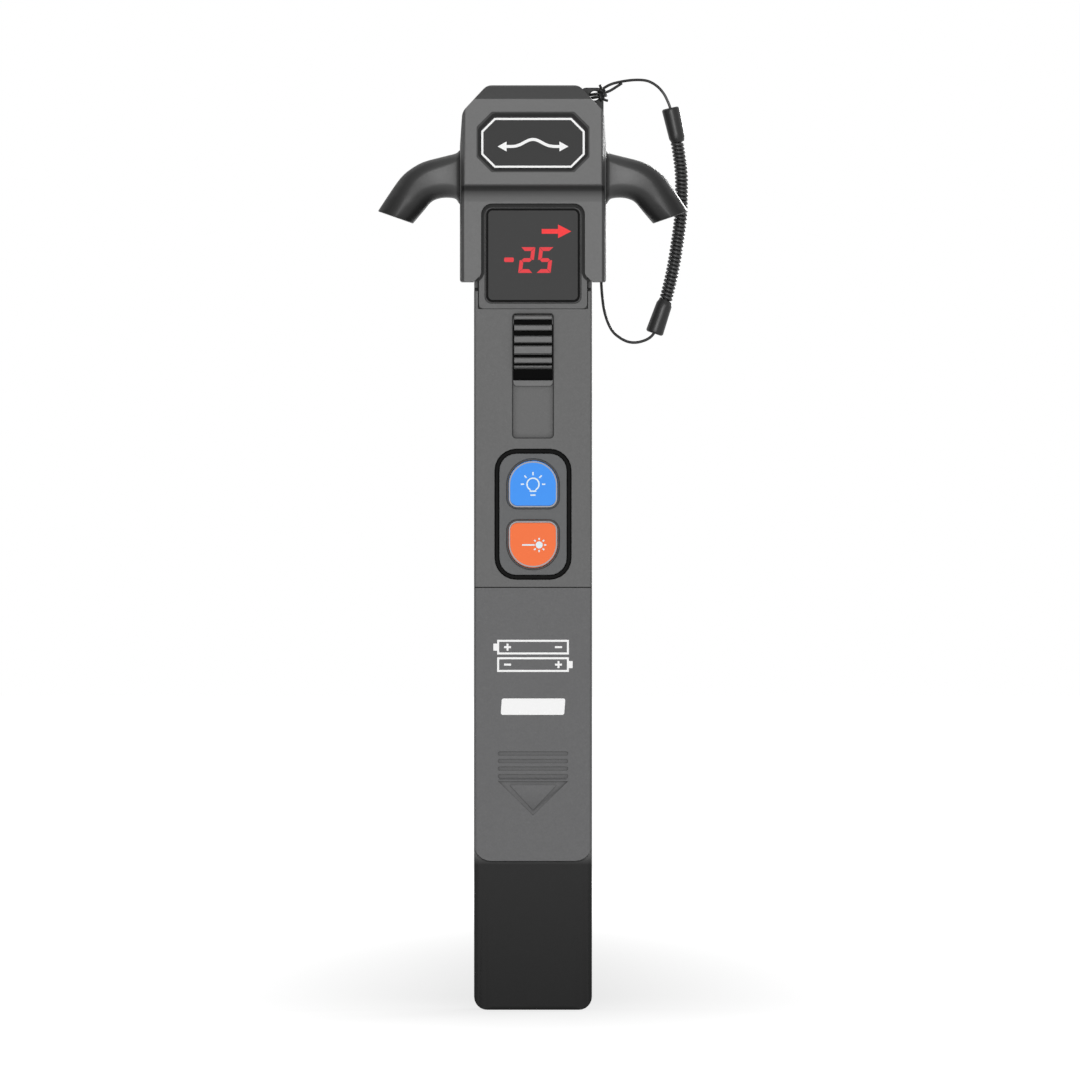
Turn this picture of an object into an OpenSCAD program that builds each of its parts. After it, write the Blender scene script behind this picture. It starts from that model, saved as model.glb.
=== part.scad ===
// Handheld optical fibre identifier.
// The head clips a fibre in a slot between two curved guide arms and shows its light.
// Millimetres, +Z up, the front faces -Y, and the origin is under the middle of the foot.

/* [Handle] */
// Width of the handle
body_w = 25; // [24.6:0.1:27]
// Distance from the middle plane to the handle's front face
body_front = 10.5; // [10.3:0.1:11.5]
// Distance from the middle plane to the handle's back face
body_back = 13.5; // [13.2:0.1:16]
// Thickness of the moulded walls
wall = 1.6; // [1.4:0.05:1.8]
// Height of the dark end that shows below the battery door
nose_h = 31.6; // [28:0.2:40]
// Height of the battery door beyond the length of its cells
battery_room = 14.5; // [13.5:0.5:20]
// Height of the front shell above the battery door
shell_h = 62.8; // [62:0.2:70]
// Radius of the handle's front edges
front_r = 1.2; // [0.8:0.1:1.5]
// Radius of the handle's back edges
back_r = 3.4; // [2:0.1:4]

/* [Head] */
// Width of the head
head_w = 31; // [30.4:0.2:36]
// Height of the head above the ends of its legs
head_h = 41.6; // [41:0.2:48]
// Distance from the middle plane to the head's front face
head_front = 13.5; // [13.2:0.1:15]
// How far the lower part of the head's front steps back
head_step = 1.8; // [1.2:0.1:2.2]
// Width of the head's flat top
head_top_w = 19.5; // [16:0.5:22]
// Height of the head's corner chamfers
head_chamfer = 5.7; // [4.5:0.1:6.2]
// Height of the bevel along the head's top front edge
head_bevel = 3; // [1.5:0.1:4]
// Width of the window round the display
window_w = 22; // [21.4:0.1:22.4]
// Height of the window above the ends of the legs
window_h = 16.5; // [15.8:0.1:17]
// Width of the sunk plate on the head's front
badge_w = 23.9; // [18:0.1:25]
// Height of the sunk plate on the head's front
badge_h = 12.8; // [9:0.1:13]
// Depth of the sunk plate
badge_depth = 0.8; // [0.6:0.05:1]

/* [Fibre slot] */
// Height of the slot's floor above the ends of the legs
slot_rise = 19.6; // [19.4:0.1:20.6]
// Height of the slot
slot_h = 5; // [4.6:0.1:5.4]
// Depth of the slot in front of the middle plane
slot_depth = 4.5; // [4.3:0.1:5]
// Gap left between the anvil and the jaw for the fibre
fibre_gap = 2.4; // [2:0.05:2.8]
// Travel of the jaw
jaw_travel = 5.25; // [4:0.05:5.3]

/* [Arms] */
// Reach of each arm beyond the side of the head
arm_reach = 17.4; // [14:0.2:24]
// Height of an arm where it leaves the head
arm_h = 9.6; // [9:0.1:10.4]
// Distance from the middle plane to an arm's front
arm_front = 8; // [7:0.1:9]
// Distance from the middle plane to an arm's back
arm_back = 6; // [5:0.1:8]
// Width of the open channel along an arm
channel_w = 4.6; // [4.2:0.1:5]

/* [Display] */
// Width of the display frame
bezel_w = 23; // [22.6:0.1:23.4]
// Width of the display's lens
lens_w = 19.7; // [17:0.1:20.4]
// Height of the display's lens
lens_h = 19.7; // [17:0.1:19.9]
// Thickness of the lens
lens_t = 0.9; // [0.6:0.05:1.1]

/* [Thumb slide] */
// Width of the sunk track
track_w = 8.7; // [7.6:0.1:9.6]
// Height of the sunk track
track_h = 26.4; // [26.2:0.1:28]
// Depth of the sunk track
track_depth = 0.9; // [0.7:0.05:1]
// Height of the ribbed thumb piece
thumb_h = 14; // [13.4:0.1:14.6]
// How far the ribs stand out of the thumb piece's plate
thumb_rise = 2.6; // [1.6:0.1:3]

/* [Keypad] */
// Width of the black ring round the keys
ring_w = 16.26; // [15.6:0.02:17.2]
// Height of the black ring round the keys
ring_h = 27.7; // [27.3:0.1:28.4]
// Width of the black ring's band
ring_band = 0.96; // [0.6:0.02:1.1]
// Outer corner radius of the black ring
ring_r = 4.6; // [3:0.1:6]
// Width of each key
key_w = 10.34; // [8.6:0.02:10.8]
// Height of each key
key_h = 9.8; // [8.6:0.1:10.1]
// How far the keys stand proud
key_rise = 0.8; // [0.4:0.05:1.2]
// Travel of each key
key_travel = 0.6; // [0.3:0.05:0.7]

/* [Battery] */
// Diameter of each round cell
cell_d = 10.5; // [9.8:0.1:10.5]
// Length of each cell without its button
cell_l = 43.5; // [42:0.1:44]
// Travel that takes the battery door clear of the handle
door_travel = 60; // [10:1:64]

/* [Light ports] */
// Bore of the laser port
port_bore = 2.5; // [2:0.05:3.2]
// Diameter of the laser port's collar
port_d = 8; // [6:0.1:9]
// Diameter of the torch lens
torch_d = 6; // [4:0.1:7]

/* [Strap] */
// Diameter of the strap's cord
cord_d = 0.6; // [0.5:0.02:0.62]
// Outer diameter of the strap's coil
coil_d = 2.45; // [2.3:0.01:2.6]
// Turns of the strap's coil
coil_turns = 26; // [20:1:26]
// Diameter of the strap's sleeves
sleeve_d = 3.8; // [3.2:0.1:4.2]

/* [Hidden] */

$fn = 48;
// steps on a rounded corner of an outline
arc_steps = 6;
// extra length that takes a cut through a face
over = 0.5;
// clearance of pieces that slide on each other
slide_gap = 0.1;
// clearance round pieces that are set in an opening
seat_gap = 0.2;
// clearance of a round piece that turns or slides in a bore
bore_gap = 0.05;
// clearance of the hairline seams between the shells
seam_gap = 0.15;
// depth at which the front and back shells meet
seam_y = 2;

half_w = body_w / 2;
in_half = half_w - wall;
front_y = -body_front;
back_y = body_back;
in_front = front_y + wall;
in_back = back_y - wall;

// levels along the handle
door_lap = 4;
nose_top = nose_h + door_lap;
nose_front = in_front + seat_gap;
nose_r = 4;
nose_foot_r = 2.8;
nose_edge_r = 0.8;
nose_in_front = nose_front + wall;
spigot_h = 4.6;
door_h = cell_l + battery_room;
door_top = nose_h + door_h;
bay_bottom = nose_top + wall;
bay_top = door_top - wall;
shell_top = door_top + shell_h;
neck_gap = 0.6;
neck_bottom = shell_top + neck_gap;
leg_gap = 2;
head_bottom = shell_top + leg_gap;
head_top = head_bottom + head_h;

// levels in the head
slot_floor = head_bottom + slot_rise;
slot_top = slot_floor + slot_h;
slot_mid = slot_floor + slot_h / 2;
floor_t = 1.9;
head_ceiling = slot_floor - floor_t;
rear_top = head_ceiling - slide_gap;
window_top = head_bottom + window_h;
head_half = head_w / 2;
low_front = -head_front + head_step;
cheek_in = half_w + slide_gap;
leg_in_y = front_y - slide_gap / 2;

// battery door and the rails that hold it
flange_depth = 2.5;
flange_y = front_y + flange_depth;
bay_wall_y = flange_y + slide_gap;
flange_t = 1.25;
undercut = 0.3;
flange_in = half_w - flange_t;
rail_w = 0.95;
rail_foot = 0.9;
rail_lift = 0.3;
rail_out = flange_in - slide_gap;
rail_in = rail_out - rail_w;
rail_y = in_front + rail_lift;
door_foot_r = 3.6;
lip_h = 1.2;
lip_w = 18;
grip_w = 14.9;
grip_t = 0.9;
grip_pitch = 1.6;
grip_bars = 4;
grip_depth = 0.4;
grip_rise = 23.2;
arrow_rise = 9.6;
arrow_h = 7.3;
arrow_line = 0.85;

function unit(v) = v / norm(v);
function arc_pts(m, r, a, d, n) = [for (i = [0:n]) m + r * [cos(a + d * i / n), sin(a + d * i / n)]];
function wrapped(d) = d > 180 ? d - 360 : (d < -180 ? d + 360 : d);
// one corner of an outline, rounded with radius r
function corner(a, b, c, r, n) =
    let (u = unit(a - b), v = unit(c - b), half = acos(u * v) / 2,
        p = b + u * r / tan(half), q = b + v * r / tan(half), m = b + unit(u + v) * r / sin(half),
        start = atan2(p.y - m.y, p.x - m.x), end = atan2(q.y - m.y, q.x - m.x))
    r == 0 ? [b] : arc_pts(m, r, start, wrapped(end - start), n);
// an outline with every corner rounded, by one radius or one radius a corner
function rounded(pts, r, n = arc_steps) =
    let (k = len(pts))
    [for (i = [0:k - 1])
        each corner(pts[(i + k - 1) % k], pts[i], pts[(i + 1) % k], is_list(r) ? r[i] : r, n)];
function box_pts(x0, y0, x1, y1) = [[x0, y0], [x1, y0], [x1, y1], [x0, y1]];
function both_sides(pts) = concat(pts, [for (i = [len(pts) - 1:-1:0]) [-pts[i].x, pts[i].y]]);
// a smooth line through rows of numbers, with n steps between rows
function smooth(rows, n) =
    [for (i = [0:len(rows) - 2]) for (k = [0:n - (i == len(rows) - 2 ? 0 : 1)])
        let (t = k / n, a = rows[max(i - 1, 0)], b = rows[i], c = rows[i + 1],
            d = rows[min(i + 2, len(rows) - 1)])
        b + t * (c - a) / 2 + t * t * (a - 5 * b / 2 + 2 * c - d / 2)
            + t * t * t * (3 * (b - c) + d - a) / 2];

module slab_xy(pts, z0, z1) { translate([0, 0, z0]) linear_extrude(z1 - z0) polygon(pts); }
module slab_xz(pts, y0, y1) { translate([0, y1, 0]) rotate([90, 0, 0]) linear_extrude(y1 - y0) polygon(pts); }
module slab_yz(pts, x0, x1) {
    translate([x0, 0, 0]) rotate([90, 0, 90]) linear_extrude(x1 - x0) polygon(pts);
}
module block(x0, y0, z0, x1, y1, z1) { translate([x0, y0, z0]) cube([x1 - x0, y1 - y0, z1 - z0]); }
module rod_y(x, z, r, y0, y1) { translate([x, y1, z]) rotate([90, 0, 0]) cylinder(r = r, h = y1 - y0); }
module rod_z(x, y, r, z0, z1) { translate([x, y, z0]) cylinder(r = r, h = z1 - z0); }
module pair() { children(); mirror([1, 0, 0]) children(); }

// round cells, their tray and contacts
cell_r = cell_d / 2;
cell_x = cell_r + slide_gap;
cell_front_gap = 0.65;
cell_y = in_front + cell_front_gap + cell_r;
nub_h = 1;
nub_r = 1.9;
tray_half = in_half - seat_gap;
tray_front = cell_y + cell_r + seat_gap;
tray_t = 1.4;
tray_back = tray_front + tray_t;
tray_bottom = bay_bottom + seat_gap;
tray_top = bay_top - seat_gap;
tray_end = 1;
tray_end_lift = 1.9;
tray_end_front = in_front + tray_end_lift;
cradle_t = 1.2;
cradle_rise = 3.4;
contact_t = 0.3;
contact_w = 7;
pole_low = tray_bottom + tray_end + contact_t;
pole_high = tray_top - tray_end - contact_t;
bay_spring_r = 3;
bay_spring_tip_r = 2;
bay_wire_r = 0.3;
bay_spring_turns = 3;
ledge_w = 1;
ledge_t = 1.2;

// screws
screw_r = 0.95;
screw_hole_r = screw_r + bore_gap;
screw_pass_r = 1.2;
screw_head_r = 2;
screw_head_t = 1.5;
screw_well_r = screw_head_r + slide_gap;
post_r = 2.6;
boss_r = 2.3;
screw_x = 8.1;
screw_seat_y = 8;
screw_tip_y = -4;
screw_low_z = door_top + 4;
screw_drop = 20.4;
screw_mid_z = shell_top - screw_drop;
nose_screw_x = 7.6;
nose_screw_z = nose_top - spigot_h / 2;
nose_screw_l = 5;
nose_boss_r = 2.2;
nose_boss_l = 4;
drive_r = 1;
drive_depth = 0.7;

// circuit board and switches
board_front = -2.9;
board_t = 1.6;
board_back = board_front + board_t;
board_half = in_half - 2 * seat_gap;
board_bottom = door_top + 7.4;
board_drop = 25.4;
board_top = shell_top - board_drop;
tongue_half = 5;
tongue_z = door_top + 2.8;
board_post_x = 6.5;
board_post_r = 1.8;
board_rail_t = 1.7;
board_rail_w = 1.5;
chip_w = 7;
chip_t = 1.4;
plug_w = 9;
plug_h = 5;
plug_t = 4;
switch_w = 6;
switch_t = 2.5;
switch_knob_r = 1.6;
switch_knob_h = 0.5;

// keys and their frame
ring_bottom = door_top + wall;
ring_mid = ring_bottom + ring_h / 2;
ring_sink = 0.2;
pocket_depth = 1.1;
pocket_y = front_y + pocket_depth;
ledge_half_w = 6.2;
ledge_half_h = 12.15;
fit = 0.03;
key_space = 3.1;
key_step = (key_h + key_space) / 2;
key_foot_r = 1.9;
key_flange = 0.6;
key_flange_t = 0.7;
key_edge = 0.25;
key_stem_r = 1.3;
trim_gap = 0.08;
trim_w = 0.32;
trim_rise = 0.05;
trim_t = 0.6;
key_front = front_y - key_rise;
key_back = pocket_y + bore_gap + key_flange_t;
knob_y = board_front - switch_t - switch_knob_h;
stem_y = knob_y - key_travel - bore_gap;

// thumb slide, its carriage and the plunger that lifts the jaw
track_top = shell_top - 4.8;
track_bottom = track_top - track_h;
track_y = front_y + track_depth;
track_r = 0.75;
thumb_half = 4;
thumb_top = track_top - seat_gap;
thumb_plate_half = track_w / 2 - slide_gap;
thumb_plate_t = 0.55;
thumb_plate_r = 0.9;
thumb_tail = 1.2;
thumb_bottom = thumb_top - thumb_h;
thumb_plate_y = track_y - bore_gap;
thumb_y = thumb_plate_y - thumb_plate_t;
slide_travel = 2 * jaw_travel;
foot_half = 1.45;
foot_h = 3;
foot_top = thumb_top - thumb_plate_t;
foot_bottom = foot_top - foot_h;
gate_half = foot_half + slide_gap;
carriage_y = in_front + slide_gap;
carriage_t = 1.2;
carriage_half = 5.2;
carriage_tail = 0.8;
foot_back_y = carriage_y + carriage_t * 0.8;
guide_w = 1;
guide_depth = 1.9;
rod_r = 2;
rod_axis_y = 0.5;
eye_r = 3.6;
eye_h = 4;
eye_top = thumb_top - 1.4;
eye_bottom = eye_top - eye_h;
arm_w = 4.4;
stop_gap = 0.5;
rod_head_r = 2.9;
rod_head_h = 2.6;
rod_head_top = eye_bottom - slide_travel + jaw_travel - stop_gap;
rod_foot = rod_head_top - rod_head_h;
collar_r = 3.7;
collar_h = 1.4;
collar_z = shell_top + 5.6;
rod_top = head_ceiling - 2.1;
spring_r = 2.8;
spring_wire_r = 0.35;
spring_turns = 7;

// inner frame of the neck
frame_half = half_w - bore_gap;
frame_front = front_y + 0.3;
frame_top = head_ceiling - 1.8;
frame_floor_t = 1.6;
frame_floor_top = neck_bottom + frame_floor_t;
bezel_half = bezel_w / 2;
bezel_t = 2;
bezel_back = front_y + bezel_t;
bezel_bottom = shell_top - 3.8;
bezel_top = head_ceiling - 0.6;
bezel_r = 1;
shelf_front = -4.4;
shelf_t = 1;
shelf_top = head_ceiling - 7.1;
web_bottom = collar_z + collar_h + 1;
web_t = 2;
web_mid = web_bottom + web_t / 2;
web_back = 5.5;
web_front = shelf_front;
spigot_in = 9.5;
neck_spigot_z = shell_top - 9.4;
neck_spigot_y = -4;
lens_foot = 1.5;
lens_mid = bezel_bottom + lens_foot + lens_h / 2;
lens_r = 1;
lens_gap = 0.36;
lens_seat_y = front_y + bore_gap + lens_t;
lens_rim = 0.9;
module_gap = 0.55;
module_half = lens_w / 2 - lens_rim - module_gap;
module_h = 12;

// anvil, jaw and detectors
jaw_front = 0.3 - slot_depth;
jaw_back = 5.2;
jaw_open_half = 8.5;
jaw_gap = 0.25;
jaw_half = jaw_open_half - jaw_gap;
anvil_drop = 1;
anvil_rise = 1;
anvil_open_half = 9;
anvil_half = anvil_open_half - seat_gap;
anvil_low = slot_top - anvil_drop;
anvil_flange = 1.4;
anvil_flange_t = 1.4;
anvil_block_t = 3;
anvil_block_in = 1.4;
jaw_low = anvil_low - fibre_gap;
jaw_bottom = head_ceiling - 0.5;
jaw_boss_r = 3.4;
jaw_boss_bottom = jaw_bottom - 3.4;
roof_t = 2;
cavity_floor = slot_top + roof_t;
sensor_r = 2.3;
sensor_h = 3.4;
sensor_rim = 0.4;
sensor_rim_t = 0.8;
sensor_tilt = 16;
sensor_x = 4;
sensor_z = cavity_floor + 2.2;
sensor_window_r = 0.8;
lead_r = 0.25;
lead_l = 2.4;
lead_x = 1.2;

// outline and hollows of the head
leg_foot_r = 0.4;
shoulder_in = 0.5;
shoulder_drop = 13;
shoulder_z = head_top - head_chamfer;
side_round = 3;
chamfer_round = 2.4;
front_cheek = 3;
cheek_w = 0.9;
step_top = slot_floor + 0.9;
step_out = 1.5;
step_drop = 1;
step_end = 3.7;
bevel_in = 4.6;
back_edge_r = 1.5;
head_back_r = 2.6;
window_half = window_w / 2;
window_r = 2.3;
leg_flare = 1.4;
mouth_y = 6.5;
mouth_up = 0.8;
mouth_down = 0.8;
slot_r = 1;
cavity_wall = 2.4;
cavity_half = head_half - 3.2;
cavity_side_top = head_top - 7.4;
cavity_top_half = head_top_w / 2 - 1;
cavity_top = head_top - 2.6;
rebate = 0.8;
cover_y = back_y - wall;
pillar_x = 9.6;
pillar_z = head_top - 9;
pillar_tip_y = 2;
badge_drop = 5.7;
badge_mid = head_top - badge_drop - badge_h / 2;
badge_cut = 3.2;
badge_margin = 0.95;
badge_plate_t = 0.4;
badge_floor = badge_depth - head_front;
ear_left = 10;
ear_half = head_half - shoulder_in;
ear_top = head_top - 0.2;
ear_bottom = head_top - 7.5;
ear_r = 1.3;
ear_t = 2.2;
ear_front = back_y - ear_t;
ear_hole_r = 1;
ear_hole_x = ear_half - 1.9;
ear_hole_z = ear_top - 1.7;

// arm sections from the head to the tip: top edge and bottom edge, across in shares of the
// reach and up from the slot's middle in shares of the arm's height
arm_shares = [[-0.052, 0.667, -0.052, -0.677], [0.009, 0.594, 0.009, -0.573],
    [0.052, 0.531, 0.052, -0.469], [0.195, 0.464, 0.138, -0.438], [0.443, 0.344, 0.236, -0.448],
    [0.609, 0.177, 0.322, -0.500], [0.724, -0.010, 0.379, -0.583], [0.845, -0.313, 0.425, -0.688],
    [1.000, -0.740, 0.575, -1.010]];
arm_steps = 3;
arm_sweep = 1.6;
arm_top_r = [1.4, 3.7];
arm_low_r = [2.6, 3.8];
arm_front_r = [3.2, 4.4];
arm_back_r = 0.8;
arm_floor_r = 1;
arm_arc = 4;

// ribs of the thumb piece: down in shares of its height, out in shares of its rise
rib_shares = [[0, 0], [0.015, 0.88], [0.03, 1], [0.07, 1], [0.084, 0.86], [0.088, 0.28], [0.152, 0.28],
    [0.157, 0.82], [0.172, 0.94], [0.235, 0.94], [0.25, 0.8], [0.255, 0.28], [0.318, 0.28],
    [0.323, 0.78], [0.338, 0.9], [0.42, 0.9], [0.435, 0.78], [0.44, 0.34], [0.466, 0.34],
    [0.471, 0.78], [0.486, 0.88], [0.59, 0.88], [0.598, 0.78], [0.606, 0.88], [0.61, 0.8], [0.616, 0.34],
    [0.646, 0.34], [0.651, 0.78], [0.666, 0.88], [0.728, 0.88], [0.742, 0.78], [0.747, 0.34], [0.768, 0.34],
    [0.773, 0.84], [0.785, 0.92], [0.8, 0.92], [0.815, 0.82], [0.83, 0.5], [0.97, 0.22], [1, 0]];

// laser and torch in the dark end
port_x = -5.2;
torch_x = 5.6;
light_y = (nose_front + back_y) / 2;
nose_floor = 2.4;
port_sink = 0.3;
port_r = port_d / 2;
port_shoulder = 0.6;
shoulder_r = port_r + port_shoulder;
port_top = 7;
beam_r = 0.6;
laser_r = shoulder_r;
laser_top = 23;
laser_cap_r = 3.4;
laser_cap_h = 3;
holder_t = 1.5;
holder_top = 12;
torch_r = torch_d / 2;
torch_lens_t = 2.6;
led_r = 2.5;
led_rim_r = torch_r - bore_gap;
led_rim_z = 4.6;
led_rim_t = 1;
led_top = 9;
torch_holder_top = 6;

// strap: routes of the cord in X, Y and Z, chosen by hand
knot_at = [15, 10.5, 194.6];
knot_r = 0.75;
tail_r = 0.28;
tail_ends = [[14.4, 10.3, 196.4], [15.9, 10.4, 193.2]];
loop_r = 1.6;
loop_x = 14.75;
loop_y = back_y - ear_t / 2;
cord_r = cord_d / 2;
cord_sides = 8;
upper_route = [[15.3, 10.6, 195], [17, 10.9, 196.2], [18.8, 11.2, 196.8], [22.6, 11.8, 197.3],
    [26, 12, 196.4], [27.9, 12, 194.4], [29, 12, 192], [29.3, 12, 190.8]];
second_route = [[15.3, 10.6, 194.5], [16.4, 10.8, 194.7], [17.6, 11, 195.7], [18.7, 11.2, 196.6]];
lower_route = [[26.3, 12, 145], [25.9, 12, 143.8], [24, 12, 142], [21.6, 12, 141.6], [18.9, 12, 142.5],
    [16.5, 12.5, 145.3], [15.4, 13.2, 148.8], [14.7, 13.9, 153.5], [14.4, 14.3, 159], [14.4, 14.3, 167],
    [14.4, 14.3, 175], [14.4, 14.3, 183], [14.6, 14.2, 190], [14.7, 14, 194.2]];
coil_route = [[30.8, 184.2], [31.4, 179], [31.6, 173.9], [31.4, 168.5], [30.7, 163], [29.7, 157],
    [28.3, 151]];
coil_steps = 8;
coil_sides = 6;
coil_r = (coil_d - cord_d) / 2;
strap_y = 12;
upper_sleeve_top = [29.2, 191.5];
lower_sleeve_top = [28.2, 150.6];
sleeve_l = 6.5;
sleeve_cone = 1;
sleeve_tilt_upper = 12.5;
sleeve_tilt_lower = -19;

body_pts = rounded(box_pts(-half_w, front_y, half_w, back_y), [front_r, front_r, back_r, back_r]);
core_r = max(back_r - wall, bore_gap);
core_pts = rounded(box_pts(-in_half, in_front, in_half, in_back), [0, 0, core_r, core_r]);

// sweeps a round tube along points; across gives one sideways direction, or one a point
function along(p, i) = unit(p[min(i + 1, len(p) - 1)] - p[max(i - 1, 0)]);
function ring(m, t, across, r, n) =
    let (w = unit(cross(t, across)), u = cross(w, t))
    [for (k = [0:n - 1]) m + r * (cos(360 * k / n) * u + sin(360 * k / n) * w)];
module sweep(path, across, r, n) {
    k = len(path);
    points = [for (i = [0:k - 1])
        each ring(path[i], along(path, i), is_num(across[0]) ? across : across[i], r, n)];
    sides = [for (i = [0:k - 2]) for (j = [0:n - 1])
        let (a = i * n + j, b = i * n + (j + 1) % n) each [[a, a + n, b + n], [a, b + n, b]]];
    first = [for (j = [1:n - 2]) [0, j, j + 1]];
    last = [for (j = [1:n - 2]) (k - 1) * n * [1, 1, 1] + [0, j + 1, j]];
    polyhedron(points, concat(sides, first, last));
}

// points of a coil spring round a vertical line, closing at both ends
function coil_pts(m, r0, r1, z0, z1, turns) =
    [for (i = [0:turns * coil_steps])
        let (s = i / (turns * coil_steps), r = r0 + (r1 - r0) * s)
        [m.x + r * cos(360 * i / coil_steps), m.y + r * sin(360 * i / coil_steps), z0 + (z1 - z0) * s]];

// back shell: the back of the handle, the walls of the battery bay and the screw posts
module housing_rear() color("dimgray") difference() {
    union() {
        difference() {
            intersection() {
                slab_xy(body_pts, nose_top, rear_top);
                union() {
                    block(-half_w, seam_y, nose_top, half_w, back_y, rear_top);
                    block(-half_w, bay_wall_y, nose_top, half_w, back_y, door_top);
                }
            }
            slab_xy(core_pts, bay_bottom, bay_top);
            slab_xy(core_pts, door_top, rear_top - wall);
            rod_z(0, in_back - board_post_x / 2, board_post_r, bay_top - over, door_top + over);
            block(-jaw_open_half, seam_y - over, rear_top - wall - over, jaw_open_half, jaw_back,
                rear_top + over);
        }
        difference() {
            slab_xy(rounded(box_pts(-in_half + seat_gap, nose_in_front + seat_gap, in_half - seat_gap,
                in_back - seat_gap), nose_r - wall), nose_top - spigot_h, nose_top);
            slab_xy(rounded(box_pts(-in_half + seat_gap + wall, nose_in_front + seat_gap + wall,
                in_half - seat_gap - wall, in_back - seat_gap - wall), (nose_r - wall) / 2),
                nose_top - spigot_h - over, nose_top);
        }
        pair() {
            intersection() {
                rod_y(nose_screw_x, nose_screw_z, nose_boss_r, in_back - seat_gap - nose_boss_l,
                    in_back - seat_gap);
                slab_xy(rounded(box_pts(-in_half + seat_gap, nose_in_front + seat_gap, in_half - seat_gap,
                    in_back - seat_gap), nose_r - wall), nose_top - spigot_h, nose_top + over);
            }
            slab_xy([[rail_in, rail_y], [rail_out, rail_y], [rail_out - undercut, bay_wall_y],
                [in_half + wall / 2, bay_wall_y], [in_half + wall / 2, bay_wall_y + rail_foot],
                [rail_in, bay_wall_y + rail_foot]], bay_bottom, bay_top);
            block(in_half - ledge_w, tray_back, bay_bottom, in_half + wall / 2, tray_back + ledge_t, bay_top);
            for (z = [board_bottom + board_post_r * 2, board_top - board_post_r * 2])
                rod_y(board_post_x, z, board_post_r, board_back, in_back + wall / 2);
            for (z = [screw_low_z, screw_mid_z]) rod_y(screw_x, z, post_r, seam_y, in_back + wall / 2);
            rod_y(screw_x, web_mid, post_r, seam_y, in_back + wall / 2);
        }
    }
    pair() {
        for (z = [screw_low_z, screw_mid_z, web_mid]) {
            rod_y(screw_x, z, screw_pass_r, seam_y - over, back_y + over);
            rod_y(screw_x, z, screw_well_r, screw_seat_y, back_y + over);
        }
        rod_y(nose_screw_x, nose_screw_z, screw_hole_r, in_back - seat_gap - nose_boss_l - over, back_y);
    }
}

// front shell: the face with the slide's track, the keypad's pocket and the notch for the display
module housing_front() color("dimgray") difference() {
    union() {
        difference() {
            intersection() {
                slab_xy(body_pts, door_top, shell_top);
                block(-half_w, front_y, door_top, half_w, seam_y, shell_top);
            }
            slab_xy(core_pts, ring_bottom, shell_top + over);
        }
        pair() {
            for (z = [screw_low_z, screw_mid_z]) rod_y(screw_x, z, boss_r, in_front - wall / 2, seam_y);
            block(in_half - board_rail_w, board_front - board_rail_t, board_bottom, in_half + wall / 2,
                board_front, board_top);
            block(carriage_half + slide_gap, in_front - wall / 4, track_bottom,
                carriage_half + slide_gap + guide_w, in_front + guide_depth, track_top);
        }
    }
    // notch that the display frame sits in
    block(-bezel_half - slide_gap, front_y - over, bezel_bottom, bezel_half + slide_gap,
        bezel_back + slide_gap, shell_top + over);
    // sunk track and the gate for the slide's foot
    slab_xz(rounded(box_pts(-track_w / 2, track_bottom, track_w / 2, track_top), track_r), front_y - over,
        track_y);
    block(-gate_half, front_y, foot_bottom - slide_travel - slide_gap, gate_half, in_front + over,
        foot_top + slide_gap);
    // keypad pocket with a ledge behind
    slab_xz(rounded(box_pts(-ring_w / 2, ring_bottom, ring_w / 2, ring_bottom + ring_h), ring_r),
        front_y - over, pocket_y);
    slab_xz(rounded(box_pts(-ledge_half_w, ring_mid - ledge_half_h, ledge_half_w, ring_mid + ledge_half_h),
        ring_r / 2), front_y, in_front + over);
    // step that the battery door's lip goes behind
    block(-lip_w / 2 - seat_gap, front_y + wall / 2, door_top - over, lip_w / 2 + seat_gap, in_front + over,
        door_top + lip_h + seat_gap);
    pair() for (z = [screw_low_z, screw_mid_z])
        rod_y(screw_x, z, screw_hole_r, screw_tip_y - over, seam_y + over);
}

// dark end with the two light ports in its foot
module nose_housing() color([0.18, 0.18, 0.18]) difference() {
    union() {
        difference() {
            intersection() {
                slab_xy(rounded(box_pts(-half_w, nose_front, half_w, back_y), nose_r), 0, nose_top);
                slab_xz(rounded(box_pts(-half_w, 0, half_w, nose_top), [nose_foot_r, nose_foot_r, 0, 0]),
                    nose_front - over, back_y + over);
                slab_yz(rounded(box_pts(nose_front, 0, back_y, nose_top), [nose_edge_r, nose_edge_r, 0, 0]),
                    -half_w - over, half_w + over);
            }
            slab_xy(rounded(box_pts(-in_half, nose_in_front, in_half, in_back), nose_r - wall), nose_floor,
                nose_top + over);
        }
        rod_z(port_x, light_y, laser_r + holder_t, nose_floor - over, holder_top);
        rod_z(torch_x, light_y, torch_r + holder_t, nose_floor - over, torch_holder_top);
    }
    rod_z(port_x, light_y, port_r + bore_gap, -over, nose_top);
    rod_z(port_x, light_y, laser_r + bore_gap, nose_floor, nose_top);
    rod_z(torch_x, light_y, torch_r + bore_gap, -over, nose_top);
    pair() rod_y(nose_screw_x, nose_screw_z, screw_head_r + bore_gap, in_back - over, back_y + over);
}

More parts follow.
